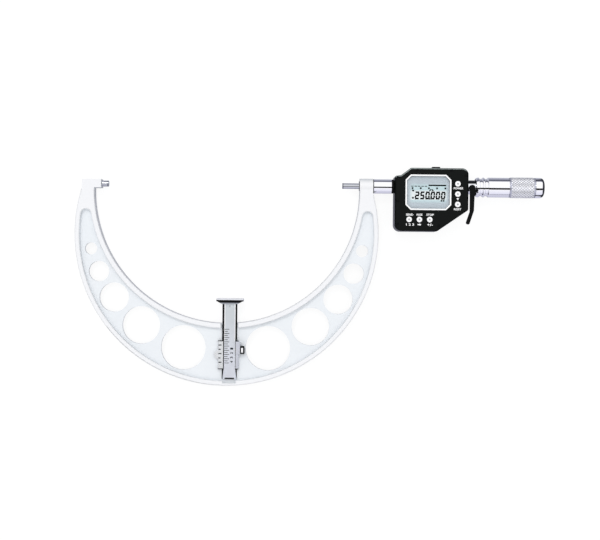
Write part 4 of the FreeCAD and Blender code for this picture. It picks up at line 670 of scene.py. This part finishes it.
def pyramids_round_axis():
    """Builds the tree that sets rows of small pyramids round the measuring line."""
    group, start, end = group_with("knurl_pyramids", Around=44, Rows=33, Radius=0.01, Height=0.001,
                                   First=0.0, Last=0.1, Half_Round=0.001, Half_Long=0.001)
    total = add(group, "ShaderNodeMath", {0: start.outputs["Around"], 1: start.outputs["Rows"]},
                operation="MULTIPLY")
    index = add(group, "GeometryNodeInputIndex").outputs[0]
    division = add(group, "ShaderNodeMath", {0: index, 1: start.outputs["Around"]}, operation="DIVIDE")
    row = add(group, "ShaderNodeMath", {0: division.outputs[0]}, operation="FLOOR")
    column = add(group, "ShaderNodeMath", {0: index, 1: start.outputs["Around"]}, operation="MODULO")
    odd = add(group, "ShaderNodeMath", {0: row.outputs[0], 1: 2.0}, operation="MODULO")
    shift = add(group, "ShaderNodeMath", {0: odd.outputs[0], 1: 0.5, 2: column.outputs[0]},
                operation="MULTIPLY_ADD")
    turn = add(group, "ShaderNodeMath", {0: shift.outputs[0], 1: start.outputs["Around"]},
               operation="DIVIDE")
    angle = add(group, "ShaderNodeMath", {0: turn.outputs[0], 1: math.tau}, operation="MULTIPLY")
    last_row = add(group, "ShaderNodeMath", {0: start.outputs["Rows"], 1: 1.0}, operation="SUBTRACT")
    share = add(group, "ShaderNodeMath", {0: row.outputs[0], 1: last_row.outputs[0]}, operation="DIVIDE")
    along = add(group, "ShaderNodeMapRange", {
        "Value": share.outputs[0], "To Min": start.outputs["First"], "To Max": start.outputs["Last"]})
    spin = add(group, "ShaderNodeCombineXYZ", {"X": angle.outputs[0]})
    arm = add(group, "ShaderNodeCombineXYZ", {"Z": start.outputs["Radius"]})
    turned = add(group, "ShaderNodeVectorRotate", {"Vector": arm.outputs[0], "Rotation": spin.outputs[0]},
                 rotation_type="EULER_XYZ")
    forward = add(group, "ShaderNodeCombineXYZ", {"X": along.outputs["Result"]})
    spot = add(group, "ShaderNodeVectorMath", {0: turned.outputs[0], 1: forward.outputs[0]})
    pyramid = add(group, "GeometryNodeMeshCone", {
        "Vertices": 4, "Radius Top": 0.0, "Radius Bottom": 1.0, "Depth": 1.0}, fill_type="NONE")
    size = add(group, "ShaderNodeCombineXYZ", {
        "X": start.outputs["Half_Long"], "Y": start.outputs["Half_Round"], "Z": start.outputs["Height"]})
    stamp_on_points(group, (start, end), total.outputs[0], spot, pyramid, size, Rotation=spin.outputs[0])
    return group


def turned_shell(name, section, material, body, around=96):
    """Spins a half section in X and radius about the measuring line into a closed mesh."""
    mesh = bpy.data.meshes.new(name)
    count = len(section)
    points = []
    for i in range(around):
        angle = math.tau * i / around
        points += [(x * MM, -r * MM * math.sin(angle), r * MM * math.cos(angle)) for x, r in section]
    faces = []
    for i in range(around):
        j = (i + 1) % around
        for a in range(count):
            b = (a + 1) % count
            faces.append((i * count + a, j * count + a, j * count + b, i * count + b))
    mesh.from_pydata(points, [], faces)
    mesh.polygons.foreach_set("use_smooth", [True] * len(faces))
    mesh.set_sharp_from_angle(angle=math.radians(30))
    piece = riding_piece(name, mesh, material, body)
    return piece


rolled_chrome, tree, shader = new_material("rolled_and_chromed_steel", "E6E7EC", metallic=0.5,
                                           roughness=0.3)
mottle(tree, shader, roughness=(0.24, 0.36), tones=("F4F4F8", "FFFFFF"), grain_mm=3.0)
spot = place_on_piece(tree)
arm = add(tree, "ShaderNodeCombineXYZ", {"Y": spot["Y"], "Z": spot["Z"]})
reach = add(tree, "ShaderNodeVectorMath", {0: arm.outputs[0]}, operation="LENGTH")
# Painted shade: the knurl's valleys are greyer than its crests.
valley_shade = add(tree, "ShaderNodeMapRange", {
    "Value": reach.outputs["Value"], "From Min": (KNURL_RADIUS + VALLEY_FLOOR) * MM,
    "From Max": (KNURL_RADIUS + VALLEY_DEPTH) * MM, "To Min": 1.0, "To Max": 0.0})
overlay(tree, shader, valley_shade.outputs["Result"], VALLEY_SHADE_GREY)

sleeve_start, sleeve_end = (corner[0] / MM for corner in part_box("ratchet_sleeve"))
drum = turned_shell("knurled_drum", [
    (sleeve_start, DRUM_BORE), (sleeve_end - DRUM_END_DEPTH, DRUM_BORE),
    (sleeve_end - DRUM_END_DEPTH, DRUM_END_BORE), (sleeve_end - DRUM_END_GAP, DRUM_END_BORE),
    (sleeve_end - DRUM_END_GAP, DRUM_SHOULDER), (KNURL_END, KNURL_RADIUS), (KNURL_START, KNURL_RADIUS),
    (sleeve_start, DRUM_SHOULDER),
], rolled_chrome, "ratchet_group")
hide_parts("ratchet_sleeve")
knurl_gap = (KNURL_END - KNURL_START) / (KNURL_ROWS + 1)
realised(
    "diamond_knurl", pyramids_round_axis(), rolled_chrome, "ratchet_group", "chrome",
    Around=KNURL_AROUND, Rows=KNURL_ROWS, Radius=KNURL_RADIUS * MM, Height=(KNURL_TOP - KNURL_RADIUS) * MM,
    First=(KNURL_START + knurl_gap) * MM, Last=(KNURL_END - knurl_gap) * MM,
    Half_Round=math.pi * KNURL_RADIUS / KNURL_AROUND * MM, Half_Long=knurl_gap * MM)

# The stop's blade slides in the throat. It is steel, ground bright on its face. Its bevelled edges are
# darkened with painted shade and the middle of its foot with a painted shadow. The lands beside its upper
# field carry a painted highlight, and the field is painted lighter towards the foot. The bands of light
# and dark are painted where the photograph shows them, and some of those may be mirror images.

BLADE_OFFSET = 0.25
LAND_WIDTH = 3.0
LAND_END = 166.5
FIELD_FADE = (140.0, 185.0)
EDGE_TAPER = (196.0, 207.0)
EDGE_WIDTHS = (2.0, 0.5)
FOOT_LENGTH = 1.5
FOOT_SIDE = 2.8
BRUSH_PITCH = 1.3
FACE_METALLIC = 0.9

blade_low, blade_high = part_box("stop_blade")
stop_x = (blade_low[0] + blade_high[0]) / 2
blade_half = (blade_high[0] - blade_low[0]) / 2
blade_steel, tree, shader = new_material("blade_with_painted_shade_and_highlight", "CBD3D9", metallic=FACE_METALLIC,
                                         roughness=0.4, specular=0.15)
mottle(tree, shader, roughness=(0.34, 0.46), tones=("D6DCE1", "DEE3E6"), grain_mm=6.0)
spot = place_on_piece(tree)
across = distance_from(tree, spot["X"], stop_x + BLADE_OFFSET * MM)
drop = add(tree, "ShaderNodeMath", {0: spot["Y"], 1: -1.0}, operation="MULTIPLY").outputs[0]
# The field is painted lighter towards the foot.
faded = add(tree, "ShaderNodeMapRange", {
    "Value": drop, "From Min": FIELD_FADE[0] * MM, "From Max": FIELD_FADE[1] * MM})
overlay(tree, shader, faded.outputs["Result"], "E9ECF5")
# Painted highlight on the lands along the upper field.
outer = add(tree, "ShaderNodeMath", {0: across, 1: blade_half - LAND_WIDTH * MM}, operation="GREATER_THAN")
upper = add(tree, "ShaderNodeMath", {0: drop, 1: LAND_END * MM}, operation="LESS_THAN")
overlay(tree, shader, where_all(tree, outer.outputs[0], upper.outputs[0]), "FAFBFC")
# Painted shade along the bevelled edges, narrowing towards the foot.
edge = add(tree, "ShaderNodeMapRange", {
    "Value": drop, "From Min": EDGE_TAPER[0] * MM, "From Max": EDGE_TAPER[1] * MM,
    "To Min": EDGE_WIDTHS[0] * MM, "To Max": EDGE_WIDTHS[1] * MM})
edge_line = add(tree, "ShaderNodeMath", {0: blade_half, 1: edge.outputs["Result"]}, operation="SUBTRACT")
sides = add(tree, "ShaderNodeMath", {0: across, 1: edge_line.outputs[0]}, operation="GREATER_THAN")
# Painted shadow across the middle of the foot.
foot = add(tree, "ShaderNodeMath", {0: drop, 1: -blade_low[1] - FOOT_LENGTH * MM}, operation="GREATER_THAN")
inner = add(tree, "ShaderNodeMath", {0: across, 1: blade_half - FOOT_SIDE * MM}, operation="LESS_THAN")
foot_shadow = where_all(tree, foot.outputs[0], inner.outputs[0])
painted_edge_shade = add(tree, "ShaderNodeMath", {0: sides.outputs[0], 1: foot_shadow}, operation="MAXIMUM").outputs[0]
overlay(tree, shader, painted_edge_shade, "050608")
unshaded_metal = add(tree, "ShaderNodeMapRange", {"Value": painted_edge_shade, "To Min": FACE_METALLIC, "To Max": 0.0})
tree.links.new(unshaded_metal.outputs["Result"], shader.inputs["Metallic"])
cutter_rings(tree, shader, BRUSH_PITCH, wander=1.5, detail=3.0, depth_mm=0.004, strength=0.3)
dress(blade_steel, "stop_blade")

# The stop's head is pinned to the blade. It is steel, bright along its measuring edge and darkened below it
# with painted shade, with a grey band painted where it meets the blade. Bluing is a guess for the dark.

HEAD_EDGE = 1.6
HEAD_BAND = (4.2, 4.9)
head_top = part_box("stop_head")[1][1]
head_steel, tree, shader = new_material("steel_head_with_painted_shade", "E2E3EA", metallic=0.3,
                                        roughness=0.3, specular=0.15)
mottle(tree, shader, roughness=(0.26, 0.36), tones=("D9DAE2", "EAEBF0"), grain_mm=5.0)
spot = place_on_piece(tree)
# Painted shade below the measuring edge, and a grey band painted where the head meets the blade.
depth = add(tree, "ShaderNodeMath", {0: head_top, 1: spot["Y"]}, operation="SUBTRACT").outputs[0]
dark = add(tree, "ShaderNodeMath", {0: depth, 1: HEAD_EDGE * MM}, operation="GREATER_THAN")
overlay(tree, shader, dark.outputs[0], "020303")
grey_band = add(tree, "ShaderNodeMapRange", {
    "Value": depth, "From Min": HEAD_BAND[0] * MM, "From Max": HEAD_BAND[1] * MM})
overlay(tree, shader, grey_band.outputs["Result"], "9A9DA6")
dress(head_steel, "stop_head")

# The stop's guide is milled steel with a dull chrome plate, screwed to the frame from the back. Its ends
# are darkened with painted shade, and its right side is tinted bluer with painted shade.

GUIDE_SHADE_WIDTH = 8.0
GUIDE_END = 0.8
guide_low, guide_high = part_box("stop_guide")
plated_guide, tree, shader = new_material("dull_chrome_plate", "F0F2F5", metallic=1.0, roughness=0.3)
grain = mottle(tree, shader, roughness=(0.24, 0.36), tones=("EAEDF1", "F6F7F9"), grain_mm=5.0)
spot = place_on_piece(tree)
# Painted shade: the guide turns bluer towards its right side.
right_side_shade = add(tree, "ShaderNodeMapRange", {
    "Value": spot["X"], "From Min": stop_x, "From Max": stop_x + GUIDE_SHADE_WIDTH * MM})
overlay(tree, shader, right_side_shade.outputs["Result"], "DCDFEA")
# Painted shade at both ends of the guide.
along = distance_from(tree, spot["Y"], (guide_low[1] + guide_high[1]) / 2)
guide_half = (guide_high[1] - guide_low[1]) / 2
ends = add(tree, "ShaderNodeMath", {0: along, 1: guide_half - GUIDE_END * MM}, operation="GREATER_THAN")
overlay(tree, shader, ends.outputs[0], "1A1C20")
relief(tree, shader, grain, depth_mm=0.01, strength=0.3)
dress(plated_guide, "stop_guide")

# Scale lines and figures on the blade and the index lines on the guide are engraved and
# filled with dark ink. Both rows of lines are made by one geometry tree.

LINE_FILM = 0.04
FIELD_SUNK = 0.3
GUIDE_FACE_RISE = 4.2
SCALE_COUNT, SCALE_PITCH, SCALE_TOP, SCALE_LEFT = 17, 2.25, -154.4, -5.5
SCALE_LONG, SCALE_SHORT, SCALE_STROKE = 5.2, 3.6, 0.6
INDEX_COUNT, INDEX_PITCH, INDEX_TOP, INDEX_LEFT = 5, 4.6, -171.3, -11.6
INDEX_LONG, INDEX_SHORT, INDEX_STROKE = 3.2, 2.2, 1.1
NUMBER_RIGHT, NUMBER_TOP, NUMBER_PITCH = 2.4, -175.1, 4.7
NUMBER_WIDTH, NUMBER_HEIGHT = 2.0, 3.0

filled_ink, tree, shader = new_material("dark_filled_engraving", "23272D", metallic=0.0, roughness=0.6,
                                        specular=0.2)
mottle(tree, shader, roughness=(0.5, 0.7), tones=("1C2025", "2C3138"), grain_mm=1.0)


def lines_in_a_row():
    """Builds the tree that repeats a short line down a scale, every second one shorter."""
    group, start, end = group_with("scale_lines", Count=9, Pitch=0.001, Left=0.0, Top=0.0, Face=0.0,
                                   Long=0.003, Short=0.002, Thick=0.0003, Deep=0.00003)
    index = add(group, "GeometryNodeInputIndex").outputs[0]
    odd = add(group, "ShaderNodeMath", {0: index, 1: 2.0}, operation="MODULO")
    length = add(group, "ShaderNodeMapRange", {
        "Value": odd.outputs[0], "To Min": start.outputs["Long"], "To Max": start.outputs["Short"]})
    half = add(group, "ShaderNodeMath", {0: length.outputs[0], 1: 0.5, 2: start.outputs["Left"]},
               operation="MULTIPLY_ADD")
    fall = add(group, "ShaderNodeMath", {0: index, 1: start.outputs["Pitch"]}, operation="MULTIPLY")
    down = add(group, "ShaderNodeMath", {0: start.outputs["Top"], 1: fall.outputs[0]}, operation="SUBTRACT")
    spot = add(group, "ShaderNodeCombineXYZ", {
        "X": half.outputs[0], "Y": down.outputs[0], "Z": start.outputs["Face"]})
    line = add(group, "GeometryNodeMeshCube", {"Size": (1, 1, 1)})
    size = add(group, "ShaderNodeCombineXYZ", {
        "X": length.outputs[0], "Y": start.outputs["Thick"], "Z": start.outputs["Deep"]})
    stamp_on_points(group, (start, end), start.outputs["Count"], spot, line, size)
    return group


scale_tree = lines_in_a_row()
field_face = blade_high[2] - FIELD_SUNK * MM
guide_face = guide_low[2] + GUIDE_FACE_RISE * MM
realised("blade_scale", scale_tree, filled_ink, "stop_group", "black_steel", Count=SCALE_COUNT,
         Pitch=SCALE_PITCH * MM, Left=stop_x + SCALE_LEFT * MM, Top=SCALE_TOP * MM, Face=field_face,
         Long=SCALE_LONG * MM, Short=SCALE_SHORT * MM, Thick=SCALE_STROKE * MM, Deep=LINE_FILM * MM)
realised("guide_index", scale_tree, filled_ink, "instrument", "black_steel", Count=INDEX_COUNT,
         Pitch=INDEX_PITCH * MM, Left=stop_x + INDEX_LEFT * MM, Top=INDEX_TOP * MM, Face=guide_face,
         Long=INDEX_LONG * MM, Short=INDEX_SHORT * MM, Thick=INDEX_STROKE * MM, Deep=LINE_FILM * MM)
for index, figure in enumerate("1234"):
    centre = (stop_x / MM + NUMBER_RIGHT, NUMBER_TOP - NUMBER_PITCH * index)
    number = printed("blade_number_" + figure, figure, centre, NUMBER_WIDTH, NUMBER_HEIGHT, filled_ink,
                     "stop_group", field_face, turn=math.radians(90))

# The clamp screw of the stop is one turned piece with a round black knob. A bright place on its edge is a
# painted highlight.

HIGHLIGHT_DEPTH = 0.8
HIGHLIGHT_START = 3.4
HIGHLIGHT_END = 1.4
knob_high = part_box("stop_clamp_screw")[1]
highlighted_knob, tree, shader = new_material("black_oxide_with_painted_highlight", "040505", metallic=0.0, roughness=0.3,
                                       specular=0.1)
mottle(tree, shader, roughness=(0.24, 0.40), tones=OXIDE_TONES, grain_mm=3.0)
spot = place_on_piece(tree)
# Painted highlight on the knob's edge.
knob_highlight = where_all(tree, *(
    add(tree, "ShaderNodeMath", {0: spot[axis], 1: limit}, operation=side).outputs[0]
    for axis, limit, side in (("Z", knob_high[2] - HIGHLIGHT_DEPTH * MM, "GREATER_THAN"),
                              ("X", knob_high[0] - HIGHLIGHT_START * MM, "GREATER_THAN"),
                              ("X", knob_high[0] - HIGHLIGHT_END * MM, "LESS_THAN"))))
overlay(tree, shader, knob_highlight, "F4F4F6")
dress(highlighted_knob, "stop_clamp_screw")

# The floor is a pale table under plain soft light. The instrument lies on its back, on
# the far end of its frame and on its housing, so the table's plane tilts by that much.
# Glossy rays see a grey cloth in its place instead of the white that the camera sees. Its greys are matched
# to what the photograph's polished parts mirror.

REST_LEFT = (-35.0, -7.0)
REST_RIGHT = (305.4, -12.5)
REST_GAP = 0.02
TABLE_X = (-2600, 3000)
TABLE_Y = (-2800, 2800)
TABLE_GREY = (0.16, 0.16, 0.16, 1)
TABLE_GLOW = 0.88
BOUNCE_GREY = (0.3, 0.3, 0.31, 1)
CLOTH_REACH = 300
CLOTH_END = (468.0, 475.0)
CLOTH = (
    (-300, "D2D2E2"), (-60, "D8D8E8"), (-22, "D2D2E4"), (-12, "B4B4C4"), (12, "D2D4DE"), (20, "C8CAD6"),
    (40, "AEB0BE"), (120, "8A8C9C"), (300, "70727F"),
)
PAST_CLOTH = "34363C"


def colour_stops(ramp, stops, lowest, highest):
    """Fills a colour ramp from pairs of a place and a colour."""
    while len(ramp.elements) > 1:
        ramp.elements.remove(ramp.elements[-1])
    for number, (value, code) in enumerate(stops):
        where = (value - lowest) / (highest - lowest)
        stop = ramp.elements[0] if number == 0 else ramp.elements.new(where)
        stop.position = where
        stop.color = linear(code)


slope = (REST_RIGHT[1] - REST_LEFT[1]) / (REST_RIGHT[0] - REST_LEFT[0])
points = []
for x, y in upright_box(*TABLE_X, *TABLE_Y):
    height = REST_LEFT[1] + slope * (x - REST_LEFT[0]) - REST_GAP
    points.append((x * MM, y * MM, height * MM))
table_mesh = bpy.data.meshes.new("table_top")
table_mesh.from_pydata(points, [], [(0, 1, 2, 3)])
table = bpy.data.objects.new("table_top", table_mesh)
scene.collection.objects.link(table)
white_table = bpy.data.materials.new("white_table")
white_table.use_nodes = True
tree = white_table.node_tree
tree.nodes.clear()
path = add(tree, "ShaderNodeLightPath").outputs
seen = add(tree, "ShaderNodeMath", {0: path["Is Camera Ray"], 1: path["Is Transmission Ray"]},
           operation="MAXIMUM")
shade = add(tree, "ShaderNodeBsdfDiffuse", {"Color": TABLE_GREY})
glow = add(tree, "ShaderNodeEmission", {"Color": (1, 1, 1, 1), "Strength": TABLE_GLOW})
bright = add(tree, "ShaderNodeAddShader", {0: shade.outputs[0], 1: glow.outputs[0]})
plain = add(tree, "ShaderNodeBsdfDiffuse", {"Color": BOUNCE_GREY})
spot = place_on_piece(tree)
share = add(tree, "ShaderNodeMapRange", {
    "Value": spot["Y"], "From Min": -CLOTH_REACH * MM, "From Max": CLOTH_REACH * MM})
cloth = add(tree, "ShaderNodeValToRGB", {"Fac": share.outputs["Result"]})
colour_stops(cloth.color_ramp, CLOTH, -CLOTH_REACH, CLOTH_REACH)
beyond = add(tree, "ShaderNodeMapRange", {
    "Value": spot["X"], "From Min": CLOTH_END[0] * MM, "From Max": CLOTH_END[1] * MM})
hue = add(tree, "ShaderNodeMix", {
    "Factor": beyond.outputs["Result"], "A": cloth.outputs["Color"], "B": linear(PAST_CLOTH)},
    data_type="RGBA")
mirrored = add(tree, "ShaderNodeEmission", {"Color": hue.outputs["Result"], "Strength": 1.0})
first = add(tree, "ShaderNodeMixShader", {
    0: path["Is Glossy Ray"], 1: plain.outputs[0], 2: mirrored.outputs[0]})
choice = add(tree, "ShaderNodeMixShader", {0: seen.outputs[0], 1: first.outputs[0], 2: bright.outputs[0]})
add(tree, "ShaderNodeOutputMaterial", {"Surface": choice.outputs[0]})
table_mesh.materials.append(white_table)

# A pale room lights the instrument from above. Glossy rays see a room of their own, a white tent with a
# dark slot near its top, grey walls low on the far side and dark ends, whose bands are matched to the
# photograph. The camera sees plain white.

TENT = (
    (-90, "D8D8E8"), (-70, "E6E6F2"), (-33, "F4F4FA"), (-29, "FFFFFF"), (-26.5, "050608"), (-8, "050608"),
    (-6.5, "FFFFFF"), (70, "FFFFFF"), (75, "8A8C9A"), (80, "686A77"), (90, "686A77"),
)
TENT_ENDS = (0.60, 0.80)
TENT_END_GREY = "303038"
TENT_STRENGTH = 1.15
ROOM_TINT = (0.985, 0.99, 1.0, 1)
ROOM_SIDE_STRENGTH = 0.14
ROOM_TOP_STRENGTH = 1.35

world = bpy.data.worlds.new("studio")
scene.world = world
world.use_nodes = True
tree = world.node_tree
tree.nodes.clear()
path = add(tree, "ShaderNodeLightPath").outputs
away = add(tree, "ShaderNodeSeparateXYZ", {"Vector": add(tree, "ShaderNodeTexCoord").outputs["Generated"]})
tilt = add(tree, "ShaderNodeMath", {0: away.outputs["Y"], 1: away.outputs["Z"]}, operation="ARCTAN2")
share = add(tree, "ShaderNodeMapRange", {
    "Value": tilt.outputs[0], "From Min": -math.pi / 2, "From Max": math.pi / 2})
tent = add(tree, "ShaderNodeValToRGB", {"Fac": share.outputs["Result"]})
colour_stops(tent.color_ramp, TENT, -90, 90)
sideways = add(tree, "ShaderNodeMath", {0: away.outputs["X"]}, operation="ABSOLUTE")
far = add(tree, "ShaderNodeMapRange", {
    "Value": sideways.outputs[0], "From Min": TENT_ENDS[0], "From Max": TENT_ENDS[1]})
room = add(tree, "ShaderNodeMix", {
    "Factor": far.outputs["Result"], "A": tent.outputs["Color"], "B": linear(TENT_END_GREY)},
    data_type="RGBA")
mirrored = add(tree, "ShaderNodeBackground", {"Color": room.outputs["Result"], "Strength": TENT_STRENGTH})
zenith = add(tree, "ShaderNodeMapRange", {
    "Value": away.outputs["Z"], "To Min": ROOM_SIDE_STRENGTH, "To Max": ROOM_TOP_STRENGTH})
lighting = add(tree, "ShaderNodeBackground", {"Color": ROOM_TINT, "Strength": zenith.outputs["Result"]})
backdrop = add(tree, "ShaderNodeBackground", {"Color": (1, 1, 1, 1), "Strength": 1.0})
first = add(tree, "ShaderNodeMixShader", {
    0: path["Is Glossy Ray"], 1: lighting.outputs[0], 2: mirrored.outputs[0]})
seen = add(tree, "ShaderNodeMath", {0: path["Is Camera Ray"], 1: path["Is Transmission Ray"]},
           operation="MAXIMUM")
both = add(tree, "ShaderNodeMixShader", {0: seen.outputs[0], 1: first.outputs[0], 2: backdrop.outputs[0]})
add(tree, "ShaderNodeOutputWorld", {"Surface": both.outputs[0]})

# The key lamp is a large soft source over the top edge of the picture, a little to the
# left, so rims and buttons throw short soft shadows down the picture.

KEY_FROM = Vector((-0.22, 0.62, 1.0))
KEY_SPREAD = 12
KEY_STRENGTH = 0.45
key = bpy.data.lights.new("key_lamp", "SUN")
key.energy = KEY_STRENGTH
key.angle = math.radians(KEY_SPREAD)
key_lamp = bpy.data.objects.new("key_lamp", key)
key_lamp.rotation_mode = "QUATERNION"
key_lamp.rotation_quaternion = (-KEY_FROM).to_track_quat("-Z", "Y")
scene.collection.objects.link(key_lamp)

# The camera looks straight down on the display from above the middle of the picture.

PHOTO_WIDTH = 600
MM_PER_PIXEL = 1.0711
SENSOR_WIDTH = 36.0
CAMERA_PLACE = (205.7, -90.4, 1250.0)
CAMERA_ROLL = 0.6
camera_data = bpy.data.cameras.new("camera")
camera_data.sensor_width = SENSOR_WIDTH
camera_data.lens = SENSOR_WIDTH * CAMERA_PLACE[2] / (PHOTO_WIDTH * MM_PER_PIXEL)
camera_data.clip_start = 0.01
camera_data.clip_end = 50
camera = bpy.data.objects.new("camera", camera_data)
camera.location = [value * MM for value in CAMERA_PLACE]
camera.rotation_euler = (0, 0, math.radians(CAMERA_ROLL))
scene.collection.objects.link(camera)
scene.camera = camera
scene.view_settings.view_transform = "Standard"
